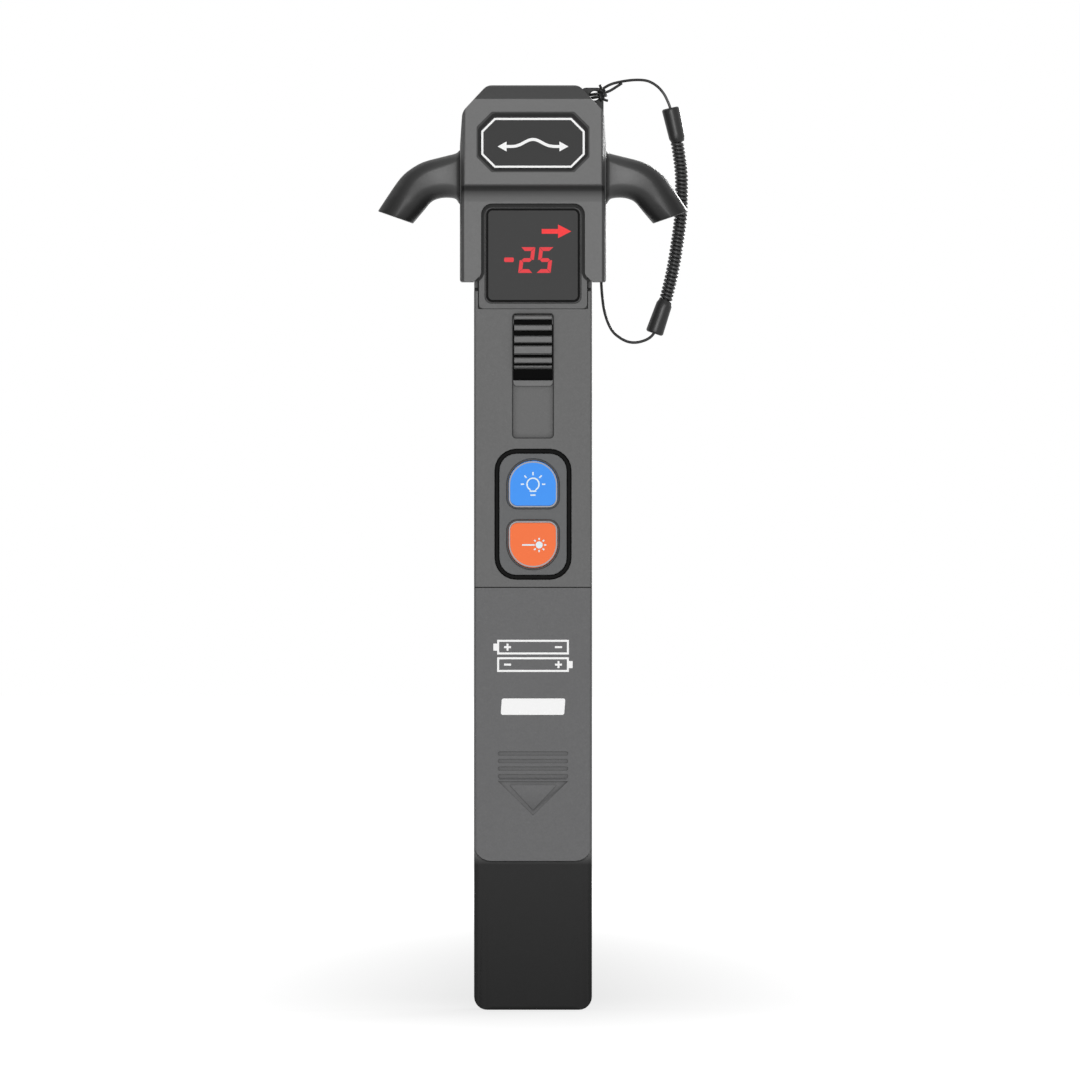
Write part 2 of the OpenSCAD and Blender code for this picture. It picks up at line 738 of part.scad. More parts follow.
// inner frame of the neck: cheeks, display shelf and the web that guides the plunger
module neck_frame() color("dimgray") difference() {
    union() {
        difference() {
            intersection() {
                slab_xy(body_pts, neck_bottom, frame_top);
                block(-frame_half, frame_front, neck_bottom, frame_half, seam_y, frame_top);
            }
            block(-in_half, frame_front - over, frame_floor_top, in_half, seam_y + over, frame_top + over);
            block(-bezel_half - slide_gap, frame_front - over, neck_bottom - over, bezel_half + slide_gap,
                bezel_back + slide_gap, frame_top + over);
            block(-spigot_in, shelf_front + shelf_t, neck_bottom - over, spigot_in, seam_y + over,
                frame_floor_top + over);
        }
        pair() block(spigot_in, neck_spigot_y, neck_spigot_z, in_half - seat_gap, seam_y - bore_gap,
            frame_floor_top);
        block(-in_half - wall / 2, shelf_front, neck_bottom, in_half + wall / 2, shelf_front + shelf_t,
            shelf_top);
        block(-in_half - wall / 2, web_front, web_bottom, in_half + wall / 2, seam_y, web_bottom + web_t);
        block(-spigot_in + post_r * 2, seam_y - over, web_bottom, spigot_in - post_r * 2, web_back,
            web_bottom + web_t);
        pair() rod_y(screw_x, web_mid, boss_r, web_front + shelf_t / 2, seam_y);
    }
    rod_z(0, rod_axis_y, rod_r + bore_gap, web_bottom - over, web_bottom + web_t + over);
    pair() rod_y(screw_x, web_mid, screw_hole_r, web_front - over, seam_y + over);
}

// outlines of the head and its hollows, as seen from the front
head_pts = rounded(both_sides([[head_half, head_bottom], [head_half, head_top - shoulder_drop],
    [ear_half, shoulder_z], [head_top_w / 2, head_top]]),
    [leg_foot_r, side_round, side_round, chamfer_round, chamfer_round, side_round, side_round, leg_foot_r]);
side_pts = rounded([[low_front, head_bottom], [back_y, head_bottom], [back_y, head_top],
    [bevel_in - head_front, head_top], [-head_front, head_top - head_bevel], [-head_front, step_top],
    [step_out - head_front, step_top - step_drop], [low_front, step_top - step_end]],
    [0, 0, back_edge_r, chamfer_round, chamfer_round, badge_plate_t, slot_r, side_round]);
plan_pts = rounded([[cheek_w - head_half, -head_front], [head_half - cheek_w, -head_front],
    [head_half, front_cheek - head_front], [head_half, back_y], [-head_half, back_y],
    [-head_half, front_cheek - head_front]],
    [leg_foot_r, leg_foot_r, side_round, head_back_r, head_back_r, side_round]);
function cavity_pts(k) = both_sides([[cavity_half + k, cavity_floor], [cavity_half + k, cavity_side_top],
    [cavity_top_half + k, cavity_top + k]]);
function badge_pts(k) = let (a = badge_w / 2 - k, b = badge_h / 2 - k, c = badge_cut - k / 2)
    [for (p = [[a, c - b], [a, b - c], [a - c, b], [c - a, b], [-a, b - c], [-a, c - b], [c - a, -b],
        [a - c, -b]])
        p + [0, badge_mid]];

// one ring of a guide arm: an open channel section from the top edge to the bottom edge
function arm_row(row) = [head_half + row[0] * arm_reach, slot_mid + row[1] * arm_h,
    head_half + row[2] * arm_reach, slot_mid + row[3] * arm_h];
function arm_ring(row, s) =
    let (top = [row[0], row[1]], low = [row[2], row[3]], h = norm(top - low), up = (top - low) / h,
        f = arm_sweep * s - arm_front, g = arm_back - arm_sweep * s / 2,
        rf = arm_front_r[0] + (arm_front_r[1] - arm_front_r[0]) * s,
        rl = min(arm_low_r[0] + (arm_low_r[1] - arm_low_r[0]) * s, h / 2),
        rt = min(arm_top_r[0] + (arm_top_r[1] - arm_top_r[0]) * s, h / 2),
        c0 = (h - channel_w) / 2, c1 = (h + channel_w) / 2, d = -slot_depth, e = arm_floor_r, b = arm_back_r,
        section = concat([[g, c0], [g, b], [g - b, 0]],
            [for (k = [0:arm_arc]) [f + rf * (1 - sin(90 * k / arm_arc)), rl * (1 - cos(90 * k / arm_arc))]],
            [for (k = [arm_arc:-1:0])
                [f + rf * (1 - sin(90 * k / arm_arc)), h - rt * (1 - cos(90 * k / arm_arc))]],
            [[g - b, h], [g, h - b], [g, c1], [d + e, c1], [d, c1 - e], [d, c0 + e], [d + e, c0]]))
    [for (p = section) let (q = low + up * p.y) [q.x, p.x, q.y]];
module guide_arm() {
    rows = smooth([for (row = arm_shares) arm_row(row)], arm_steps);
    k = len(rows);
    rings = [for (i = [0:k - 1]) arm_ring(rows[i], i / (k - 1))];
    n = len(rings[0]);
    sides = [for (i = [0:k - 2]) for (j = [0:n - 1])
        let (a = i * n + j, b = i * n + (j + 1) % n) each [[a, b + n, a + n], [a, b, b + n]]];
    polyhedron([for (r = rings) each r],
        concat(sides, [[for (j = [n - 1:-1:0]) j]], [[for (j = [0:n - 1]) (k - 1) * n + j]]));
}

// head: a cap over the neck with the fibre slot, the guide arms and the sensor room
module head_block() intersection() {
    slab_xz(head_pts, -head_front - over, back_y + over);
    slab_yz(side_pts, -head_half - over, head_half + over);
    slab_xy(plan_pts, head_bottom - over, head_top + over);
}
module head_hood() color("dimgray") difference() {
    head_block();
    block(-cheek_in, leg_in_y, head_bottom - over, cheek_in, back_y + over, head_ceiling);
    slab_xz(rounded(both_sides([[half_w, head_bottom - over], [half_w, head_bottom],
        [window_half, head_bottom + leg_flare], [window_half, window_top]]),
        [0, leg_foot_r, leg_flare, window_r, window_r, leg_flare, leg_foot_r, 0]),
        -head_front - over, leg_in_y + over);
    // slot right through, open at the back, with a flared mouth
    slab_yz(rounded([[-slot_depth, slot_floor], [mouth_y, slot_floor],
        [back_y + over, slot_floor - mouth_down], [back_y + over, slot_top + mouth_up],
        [mouth_y, slot_top], [-slot_depth, slot_top]], [slot_r, slot_r, 0, 0, slot_r, slot_r]),
        -head_half - over, head_half + over);
    block(-jaw_open_half, jaw_front, head_ceiling - over, jaw_open_half, jaw_back, slot_floor + over);
    block(-anvil_open_half, jaw_front, slot_top - over, anvil_open_half, jaw_back, cavity_floor + over);
    difference() {
        slab_xz(cavity_pts(0), cavity_wall - head_front, cover_y + over);
        pair() rod_y(pillar_x, pillar_z, boss_r, -head_front, cover_y);
    }
    slab_xz(cavity_pts(rebate), cover_y, back_y + over);
    slab_xz(badge_pts(0), -head_front - over, badge_floor);
    block(ear_left - seat_gap, ear_front - seat_gap, ear_bottom - seat_gap, head_half + over,
        back_y + over, head_top + over);
    pair() rod_y(pillar_x, pillar_z, screw_hole_r, pillar_tip_y, cover_y + over);
}

// arms that lead the fibre down on both sides, seated flush on the head
module guide_arms() color("dimgray") difference() {
    pair() guide_arm();
    head_block();
}

// back cover of the sensor room, with the strap's ear at one corner
module head_back_cover() color("dimgray") difference() {
    union() {
        difference() {
            slab_xz(cavity_pts(rebate - slide_gap), cover_y, back_y);
            block(-head_half, cover_y - over, cavity_floor - over, head_half, back_y + over,
                cavity_floor + slide_gap);
        }
        slab_xz(rounded(box_pts(ear_left, ear_bottom, ear_half, ear_top), [ear_r, ear_r, ear_r, ear_r]),
            ear_front, back_y);
    }
    rod_y(ear_hole_x, ear_hole_z, ear_hole_r, ear_front - over, back_y + over);
    pair() {
        rod_y(pillar_x, pillar_z, screw_pass_r, cover_y - ear_t, back_y + over);
        rod_y(pillar_x, pillar_z, screw_well_r, back_y - screw_head_t / 2, back_y + over);
    }
}

module name_plate() color([0.28, 0.28, 0.28])
    slab_xz(badge_pts(badge_margin), badge_floor - badge_plate_t, badge_floor);

// frame of the display, with a pocket for the lens
module display_bezel() color([0.43, 0.43, 0.43]) difference() {
    slab_xz(rounded(box_pts(-bezel_half, bezel_bottom, bezel_half, bezel_top), bezel_r), front_y, bezel_back);
    slab_xz(rounded(box_pts(-lens_w / 2 - lens_gap, lens_mid - lens_h / 2 - lens_gap, lens_w / 2 + lens_gap,
        lens_mid + lens_h / 2 + lens_gap), lens_r + lens_gap), front_y - over, lens_seat_y);
    block(-lens_w / 2 + lens_rim, front_y, lens_mid - lens_h / 2 + lens_rim, lens_w / 2 - lens_rim,
        bezel_back + over, lens_mid + lens_h / 2 - lens_rim);
}

module display_lens() color([0.28, 0.28, 0.28])
    slab_xz(rounded(box_pts(-lens_w / 2, lens_mid - lens_h / 2, lens_w / 2, lens_mid + lens_h / 2), lens_r),
        lens_seat_y - lens_t, lens_seat_y);

// digit display that stands on the neck's shelf behind the lens
module display_module() color([0.1, 0.1, 0.1]) {
    block(-module_half, lens_seat_y + slide_gap, frame_floor_top, module_half, shelf_front - slide_gap,
        frame_floor_top + module_h);
}

// anvil that bends the fibre down, with two tilted sensor bores
module upper_anvil() color([0.16, 0.16, 0.16]) difference() {
    union() {
        slab_xz(concat([[anvil_half, cavity_floor + anvil_flange_t],
            [-anvil_half, cavity_floor + anvil_flange_t]],
            [for (i = [-arc_steps:arc_steps])
                [anvil_half * i / arc_steps, anvil_low + anvil_rise * pow(i / arc_steps, 2)]]),
            jaw_front + seat_gap, jaw_back - seat_gap);
        block(-anvil_half - anvil_flange, jaw_front - anvil_flange, cavity_floor, anvil_half + anvil_flange,
            jaw_back + anvil_flange, cavity_floor + anvil_flange_t);
        block(anvil_block_in - anvil_half, jaw_front + seat_gap, cavity_floor, anvil_half - anvil_block_in,
            jaw_back - seat_gap, cavity_floor + anvil_flange_t + anvil_block_t);
    }
    pair() translate([sensor_x, rod_axis_y, sensor_z]) rotate([0, sensor_tilt, 0]) {
        cylinder(r = sensor_r + bore_gap, h = sensor_h * 3);
        translate([0, 0, -sensor_h * 3]) cylinder(r = sensor_window_r, h = sensor_h * 4);
    }
}

module detectors() color("silver") pair()
    translate([sensor_x, rod_axis_y, sensor_z]) rotate([0, sensor_tilt, 0]) {
        cylinder(r = sensor_r, h = sensor_h);
        for (x = [-lead_x, lead_x]) translate([x, 0, sensor_h - over])
            cylinder(r = lead_r, h = lead_l + over);
    }

// circuit board with its chip and the plug for the battery leads
module main_pcb() color("darkgreen") {
    difference() {
        slab_xz([[-tongue_half, tongue_z], [tongue_half, tongue_z], [tongue_half, board_bottom],
            [board_half, board_bottom], [board_half, board_top], [-board_half, board_top],
            [-board_half, board_bottom], [-tongue_half, board_bottom]], board_front, board_back);
        pair() rod_y(screw_x + post_r, board_bottom, post_r / 2, board_front - over, board_back + over);
    }
    block(-chip_w / 2, board_back, ring_mid - chip_w / 2, chip_w / 2, board_back + chip_t,
        ring_mid + chip_w / 2);
    block(-plug_w / 2, board_back, ring_mid - chip_w - plug_h, plug_w / 2, board_back + plug_t,
        ring_mid - chip_w);
}

module tact_switches() color("silver") for (z = [ring_mid - key_step, ring_mid + key_step]) {
    block(-switch_w / 2, board_front - switch_t, z - switch_w / 2, switch_w / 2, board_front,
        z + switch_w / 2);
    rod_y(0, z, switch_knob_r, knob_y, board_front - switch_t + over);
}

module keypad_ring() color([0.06, 0.06, 0.06]) difference() {
    slab_xz(rounded(box_pts(-ring_w / 2 + fit, ring_bottom + fit, ring_w / 2 - fit,
        ring_bottom + ring_h - fit),
        ring_r - fit), front_y + ring_sink, pocket_y);
    slab_xz(rounded(box_pts(ring_band - ring_w / 2, ring_bottom + ring_band, ring_w / 2 - ring_band,
        ring_bottom + ring_h - ring_band), ring_r - ring_band), front_y, pocket_y + over);
}

// outline of a key grown by k; up is 1 for the upper key and -1 for the lower one
function key_pts(k, up) =
    let (pts = rounded(box_pts(-key_w / 2 - k, -key_h / 2 - k, key_w / 2 + k, key_h / 2 + k),
        [key_foot_r + k, key_foot_r + k, key_w * 0.49 + k, key_w * 0.49 + k], arc_steps + arc_steps))
    [for (i = [0:len(pts) - 1]) let (p = pts[up > 0 ? i : len(pts) - 1 - i])
        [p.x, ring_mid + up * (key_step + p.y)]];

module keypad_plate() color("dimgray") difference() {
    slab_xz(rounded(box_pts(ring_band + fit - ring_w / 2, ring_bottom + ring_band + fit,
        ring_w / 2 - ring_band - fit,
        ring_bottom + ring_h - ring_band - fit), ring_r - ring_band - fit), front_y, pocket_y);
    for (up = [-1, 1]) slab_xz(key_pts(trim_gap + trim_w + fit, up), front_y - over, pocket_y + over);
}

// pale rims that line the key holes
module keypad_trims() color([0.7, 0.7, 0.7]) for (up = [-1, 1]) difference() {
    slab_xz(key_pts(trim_gap + trim_w, up), front_y - trim_rise, front_y + trim_t);
    slab_xz(key_pts(trim_gap, up), front_y - over, front_y + trim_t + over);
}

// a key: its cap, the flange behind the frame and the stem that presses the switch
module key(up) {
    slab_xz(key_pts(-key_edge, up), key_front, key_front + key_edge);
    slab_xz(key_pts(0, up), key_front + key_edge, key_back);
    slab_xz(key_pts(key_flange, up), key_back - key_flange_t, key_back);
    rod_y(0, ring_mid + up * key_step, key_stem_r, key_back - key_edge, stem_y);
}
module torch_button() color([0.3, 0.59, 1]) key(1);
module laser_button() color([1, 0.48, 0.28]) key(-1);

// ribbed thumb piece with the foot that goes through the gate
module thumb_slider() color("dimgray") {
    slab_yz([for (p = rib_shares) [thumb_y - thumb_rise * p.y, thumb_top - thumb_h * p.x]],
        -thumb_half, thumb_half);
    slab_xz(rounded(box_pts(-thumb_plate_half, thumb_bottom - thumb_tail, thumb_plate_half, thumb_top),
        thumb_plate_r), thumb_y, thumb_plate_y);
    block(-foot_half, thumb_plate_y - over, foot_bottom, foot_half, foot_back_y, foot_top);
}

// carriage behind the front wall, with the eye that rides on the plunger
module slider_carriage() color([0.16, 0.16, 0.16]) difference() {
    union() {
        block(-carriage_half, carriage_y, thumb_bottom - carriage_tail, carriage_half,
            carriage_y + carriage_t, thumb_top);
        block(-arm_w / 2, carriage_y + carriage_t / 2, eye_bottom, arm_w / 2, rod_axis_y, eye_top);
        rod_z(0, rod_axis_y, eye_r, eye_bottom, eye_top);
    }
    rod_z(0, rod_axis_y, rod_r + bore_gap, eye_bottom - over, eye_top + over);
    block(-foot_half - bore_gap, carriage_y - over, foot_bottom - bore_gap, foot_half + bore_gap,
        foot_back_y + bore_gap, foot_top + bore_gap);
}

// jaw that presses the fibre up against the anvil
module lower_jaw() color([0.16, 0.16, 0.16]) difference() {
    union() {
        slab_xz(concat([[-jaw_half, jaw_bottom], [jaw_half, jaw_bottom]],
            [for (i = [arc_steps:-1:-arc_steps])
                [jaw_half * i / arc_steps,
                jaw_low + anvil_rise * pow(i * jaw_half / anvil_half / arc_steps, 2)]]),
            jaw_front + jaw_gap, jaw_back - jaw_gap);
        rod_z(0, rod_axis_y, jaw_boss_r, jaw_boss_bottom, jaw_bottom + over);
    }
    rod_z(0, rod_axis_y, rod_r + bore_gap, jaw_boss_bottom - over, rod_top + bore_gap);
}

module plunger_rod() color("silver") {
    rod_z(0, rod_axis_y, rod_head_r, rod_foot, rod_head_top);
    rod_z(0, rod_axis_y, rod_r, rod_head_top - over, rod_top);
    rod_z(0, rod_axis_y, collar_r, collar_z, collar_z + collar_h);
}

module jaw_spring() color("silver")
    sweep(coil_pts([0, rod_axis_y], spring_r, spring_r, eye_top + spring_wire_r + bore_gap,
        collar_z - spring_wire_r - bore_gap, spring_turns), [0, 0, 1], spring_wire_r, coil_sides);

// tray for the two cells, with cradles and end walls
module battery_tray() color([0.13, 0.13, 0.13]) {
    block(-tray_half, tray_front, tray_bottom, tray_half, tray_back, tray_top);
    for (z = [tray_bottom, tray_top - tray_end])
        block(-tray_half + ledge_w, tray_end_front + rail_foot, z, tray_half - ledge_w, tray_front + over,
            z + tray_end);
    for (z = [pole_low + cell_l * 0.3, pole_low + cell_l * 0.8]) difference() {
        block(-tray_half, tray_front - cradle_rise, z, tray_half, tray_front + over, z + cradle_t);
        pair() rod_z(cell_x, cell_y, cell_r + seat_gap, z - over, z + cradle_t + over);
        block(-cell_x, tray_front - cradle_rise - over, z - over, cell_x, cell_y, z + cradle_t + over);
    }
}

// a round cell standing on z with its button at the top
module cell(x, z) {
    rod_z(x, cell_y, cell_r, z, z + cell_l);
    rod_z(x, cell_y, nub_r, z + cell_l - over, z + cell_l + nub_h);
}
module battery_cell_left() color([0.75, 0.6, 0.3]) cell(-cell_x, pole_high - nub_h - cell_l);
module battery_cell_right() color([0.75, 0.6, 0.3])
    translate([0, 0, pole_low + pole_high]) mirror([0, 0, 1]) cell(cell_x, pole_high - nub_h - cell_l);

module battery_springs() color("silver") {
    low = pole_high - nub_h - cell_l;
    sweep(coil_pts([-cell_x, cell_y], bay_spring_r, bay_spring_tip_r, pole_low + bay_wire_r + bore_gap,
        low - bay_wire_r - bore_gap, bay_spring_turns), [0, 0, 1], bay_wire_r, coil_sides);
    translate([0, 0, pole_low + pole_high]) mirror([0, 0, 1])
        sweep(coil_pts([cell_x, cell_y], bay_spring_r, bay_spring_tip_r, pole_low + bay_wire_r + bore_gap,
            low - bay_wire_r - bore_gap, bay_spring_turns), [0, 0, 1], bay_wire_r, coil_sides);
}

module battery_contacts() color("silver")
    for (z = [pole_low - contact_t, pole_high]) pair()
        block(cell_x - contact_w / 2, cell_y - contact_w / 2, z, cell_x + contact_w / 2,
            cell_y + contact_w / 2,
            z + contact_t);

// battery door: a front panel with side flanges that slide down its rails
module battery_door() color([0.41, 0.41, 0.41]) difference() {
    union() {
        intersection() {
            slab_xy(body_pts, nose_h, door_top);
            slab_xz(rounded(box_pts(-half_w, nose_h, half_w, door_top - seam_gap),
                [door_foot_r, door_foot_r, 0, 0]),
                front_y - over, flange_y);
        }
        block(-lip_w / 2, front_y + wall / 2 + slide_gap, door_top - wall, lip_w / 2, in_front,
            door_top + lip_h);
    }
    slab_xy([[-flange_in, in_front], [flange_in, in_front], [flange_in - undercut, flange_y],
        [flange_in - undercut, flange_y + over], [undercut - flange_in, flange_y + over],
        [undercut - flange_in, flange_y]], nose_h - over, door_top + over);
    block(-half_w - over, in_front, nose_h - over, half_w + over, flange_y + over, nose_top + seam_gap);
    // grip bars and the arrow that shows the way it slides
    for (i = [0:grip_bars - 1])
        slab_xz(rounded(box_pts(-grip_w / 2, nose_h + grip_rise - grip_pitch * i - grip_t, grip_w / 2,
            nose_h + grip_rise - grip_pitch * i), grip_t * 0.4), front_y - over, front_y + grip_depth);
    difference() {
        slab_xz([[-grip_w / 2, nose_h + arrow_rise + arrow_h], [0, nose_h + arrow_rise],
            [grip_w / 2, nose_h + arrow_rise + arrow_h]], front_y - over, front_y + grip_depth);
        slab_xz([[3 * arrow_line - grip_w / 2, nose_h + arrow_rise + arrow_h - arrow_line],
            [0, nose_h + arrow_rise + 1.4 * arrow_line],
            [grip_w / 2 - 3 * arrow_line, nose_h + arrow_rise + arrow_h - arrow_line]],
            front_y - over, front_y + grip_depth);
    }
}

module vfl_laser_module() color("goldenrod") difference() {
    union() {
        rod_z(port_x, light_y, laser_r, port_top, laser_top);
        rod_z(port_x, light_y, laser_cap_r, laser_top - over, laser_top + laser_cap_h);
    }
    rod_z(port_x, light_y, beam_r, port_top - over, port_top + laser_cap_h);
}

// collar of the laser port with the bore that takes a fibre's ferrule
module vfl_port() color("silver") difference() {
    union() {
        rod_z(port_x, light_y, port_r, port_sink, port_top);
        rod_z(port_x, light_y, shoulder_r, nose_floor, port_top);
    }
    rod_z(port_x, light_y, port_bore / 2, port_sink - over, port_top + over);
}

module torch_led() color("white") {
    rod_z(torch_x, light_y, led_r, port_sink + torch_lens_t + bore_gap, led_top);
    rod_z(torch_x, light_y, led_rim_r, led_rim_z, led_rim_z + led_rim_t);
    for (x = [-lead_x, lead_x]) rod_z(torch_x + x, light_y, lead_r, led_top - over, led_top + lead_l);
}

module torch_lens() color([0.85, 0.9, 0.95])
    rod_z(torch_x, light_y, torch_r, port_sink, port_sink + torch_lens_t);

// a cross-head screw along Y with its head towards +Y
module screw(x, z, tip, seat, head) difference() {
    union() {
        rod_y(x, z, screw_head_r, seat, seat + head);
        rod_y(x, z, screw_r, tip, seat + over);
    }
    for (a = [0, 90]) translate([x, seat + head, z]) rotate([0, a, 0])
        cube([drive_r * 2, drive_depth * 2, drive_r / 2], center = true);
}
module housing_screws() color("silver") for (x = [-screw_x, screw_x]) {
    for (z = [screw_low_z, screw_mid_z]) screw(x, z, screw_tip_y, screw_seat_y, screw_head_t);
    screw(x, web_mid, web_front + shelf_t, screw_seat_y, screw_head_t);
}
module nose_screws() color("silver") for (x = [-nose_screw_x, nose_screw_x])
    screw(x, nose_screw_z, in_back - seat_gap - nose_screw_l + over, in_back, wall - slide_gap);
module head_screws() color("silver") for (x = [-pillar_x, pillar_x])
    screw(x, pillar_z, pillar_tip_y + over, back_y - screw_head_t / 2, screw_head_t / 2 - slide_gap);

// strap: the knot with its loop through the ear
module strap_knot() color([0.12, 0.12, 0.12]) {
    translate([loop_x, loop_y, ear_hole_z]) rotate_extrude() translate([loop_r, 0]) circle(r = cord_r);
    translate(knot_at) sphere(r = knot_r);
    for (end = tail_ends) sweep([knot_at, (knot_at + end) / 2, end], [0, 1, 0], tail_r, cord_sides);
}
module strap_string_upper() color([0.12, 0.12, 0.12])
    sweep(smooth(upper_route, 2), [0, 1, 0], cord_r, cord_sides);
module strap_string_second() color([0.12, 0.12, 0.12])
    sweep(smooth(second_route, 2), [0, 1, 0], cord_r, cord_sides);
module strap_string_lower() color([0.12, 0.12, 0.12])
    sweep(smooth(lower_route, 4), [0, 1, 0], cord_r, cord_sides);

// a sleeve that hangs from its top at x and z, tilted in the X-Z plane
module sleeve() rotate_extrude()
    polygon([[0, -sleeve_l - sleeve_cone], [coil_d / 2 + slide_gap, -sleeve_l - sleeve_cone],
        [sleeve_d / 2 - seat_gap, -sleeve_l], [sleeve_d / 2, -slide_gap * 3],
        [sleeve_d / 2 - slide_gap * 3, 0],
        [0, 0]]);
module strap_sleeve_upper() color([0.12, 0.12, 0.12])
    translate([upper_sleeve_top.x, strap_y, upper_sleeve_top.y]) rotate([0, -sleeve_tilt_upper, 0]) sleeve();
module strap_sleeve_lower() color([0.12, 0.12, 0.12])
    translate([lower_sleeve_top.x, strap_y, lower_sleeve_top.y]) rotate([0, 180 - sleeve_tilt_lower, 0])
        translate([0, 0, sleeve_l + sleeve_cone]) sleeve();

// the strap's coil: one tube wound round a curved line, straight for a diameter at both ends
coil_line = smooth(coil_route, coil_steps);
function coil_at(s) = let (f = s * (len(coil_line) - 1), i = min(floor(f), len(coil_line) - 2),
    p = coil_line[i] + (f - i) * (coil_line[i + 1] - coil_line[i])) [p.x, strap_y, p.y];
coil_length = norm(coil_route[0] - coil_route[len(coil_route) - 1]);
coil_lead = cord_d / coil_length;
coil_n = coil_turns * coil_steps;
function coil_side(s) = let (t = unit(coil_at(min(s + coil_lead, 1)) - coil_at(max(s - coil_lead, 0))))
    cross(t, [0, 1, 0]);
function coil_out(j) = let (a = 360 * j / coil_steps)
    sin(a) * [0, 1, 0] + cos(a) * coil_side(coil_lead + (1 - 2 * coil_lead) * j / coil_n);
coil_path = concat([coil_at(0), coil_at(coil_lead)],
    [for (j = [1:coil_n - 1])
        coil_at(coil_lead + (1 - 2 * coil_lead) * j / coil_n)
            + coil_r * min(1, j / coil_steps, (coil_n - j) / coil_steps) * coil_out(j)],
    [coil_at(1 - coil_lead), coil_at(1)]);
coil_across = [for (i = [0:len(coil_path) - 1]) coil_out(min(max(i - 1, 0), coil_n))];
coil_gap = min([for (i = [0:len(coil_path) - 1])
    for (j = [i + coil_steps - 2:1:min(i + 2 * coil_steps, len(coil_path) - 1)])
    norm(coil_path[i] - coil_path[j])]) - cord_d;
echo(coil_least_gap = coil_gap);
module strap_coil() color([0.12, 0.12, 0.12]) sweep(coil_path, coil_across, cord_r, coil_sides);

housing_rear();
housing_front();
nose_housing();
neck_frame();
head_hood();
guide_arms();
head_back_cover();
name_plate();
display_bezel();
display_lens();
display_module();
upper_anvil();
detectors();
main_pcb();
tact_switches();
keypad_ring();
keypad_plate();
keypad_trims();
torch_button();
laser_button();
thumb_slider();
slider_carriage();
lower_jaw();
plunger_rod();
jaw_spring();
battery_tray();
battery_cell_left();
battery_cell_right();
battery_springs();
battery_contacts();
battery_door();
vfl_laser_module();
vfl_port();
torch_led();
torch_lens();
housing_screws();
nose_screws();
head_screws();
strap_knot();
strap_string_upper();
strap_string_second();
strap_sleeve_upper();
strap_coil();
strap_sleeve_lower();
strap_string_lower();
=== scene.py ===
import math
import bmesh
import bpy
from mathutils import Matrix, Vector


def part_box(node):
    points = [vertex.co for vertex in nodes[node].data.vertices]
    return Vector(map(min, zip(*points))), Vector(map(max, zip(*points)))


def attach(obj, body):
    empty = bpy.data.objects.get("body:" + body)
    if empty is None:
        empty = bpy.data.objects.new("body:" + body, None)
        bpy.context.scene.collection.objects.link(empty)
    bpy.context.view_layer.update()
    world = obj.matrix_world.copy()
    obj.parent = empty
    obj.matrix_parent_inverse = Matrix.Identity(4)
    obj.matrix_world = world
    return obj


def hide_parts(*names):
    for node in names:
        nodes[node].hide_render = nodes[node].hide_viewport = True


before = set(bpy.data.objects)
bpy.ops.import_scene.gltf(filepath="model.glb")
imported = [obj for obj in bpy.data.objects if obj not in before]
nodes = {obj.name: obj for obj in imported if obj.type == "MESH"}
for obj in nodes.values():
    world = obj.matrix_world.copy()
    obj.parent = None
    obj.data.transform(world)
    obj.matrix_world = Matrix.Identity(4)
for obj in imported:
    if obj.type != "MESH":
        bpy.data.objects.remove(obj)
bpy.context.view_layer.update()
mm = 0.001
print("frame loaded:", len(nodes), "nodes")

# camera: a long lens straight at the front, level with the middle of the tool
view = {"middleX": 1.48, "middleZ": 99.6, "frameWidth": 228.85, "planeY": -10.5, "distance": 6000,
        "sensor": 36, "clip": (0.1, 60)}
cameraData = bpy.data.cameras.new("studioCamera")
cameraData.sensor_width = view["sensor"]
cameraData.lens = view["sensor"] * view["distance"] / view["frameWidth"]
cameraData.clip_start, cameraData.clip_end = view["clip"]
camera = bpy.data.objects.new("studioCamera", cameraData)
camera.location = (view["middleX"] * mm, (view["planeY"] - view["distance"]) * mm, view["middleZ"] * mm)
camera.rotation_euler = (math.radians(90), 0, 0)
bpy.context.scene.collection.objects.link(camera)
bpy.context.scene.camera = camera


def linear(colour):
    return [(c / 255 / 12.92 if c <= 10 else ((c / 255 + 0.055) / 1.055) ** 2.4) for c in colour] + [1]


def freshMaterial(name):
    material = bpy.data.materials.new(name)
    material.use_nodes = True
    tree = material.node_tree
    shader = tree.nodes["Principled BSDF"]
    coords = tree.nodes.new("ShaderNodeTexCoord")
    return material, tree, shader, coords.outputs["Object"]


def noiseNode(tree, place, scale, detail=2, roughness=0.5):
    noise = tree.nodes.new("ShaderNodeTexNoise")
    noise.inputs["Scale"].default_value = scale
    noise.inputs["Detail"].default_value = detail
    noise.inputs["Roughness"].default_value = roughness
    tree.links.new(place, noise.inputs["Vector"])
    return noise.outputs["Fac"]


def remap(tree, value, fromLow, fromHigh, low=0, high=1, curve="LINEAR"):
    levels = tree.nodes.new("ShaderNodeMapRange")
    levels.interpolation_type = curve
    levels.inputs["From Min"].default_value, levels.inputs["From Max"].default_value = fromLow, fromHigh
    levels.inputs["To Min"].default_value, levels.inputs["To Max"].default_value = low, high
    tree.links.new(value, levels.inputs["Value"])
    return levels.outputs["Result"]


# a noise lies mostly between a quarter and three quarters, which becomes low to high
def spread(tree, factor, low, high):
    return remap(tree, factor, 0.25, 0.75, low, high)


def axes(tree, place):
    parts = tree.nodes.new("ShaderNodeSeparateXYZ")
    tree.links.new(place, parts.inputs["Vector"])
    return parts.outputs


# one step of arithmetic on sockets and plain numbers
def reckon(tree, operation, *values):
    step = tree.nodes.new("ShaderNodeMath")
    step.operation = operation
    for socket, value in zip(step.inputs, values):
        if isinstance(value, (int, float)):
            socket.default_value = value
        else:
            tree.links.new(value, socket)
    return step.outputs["Value"]


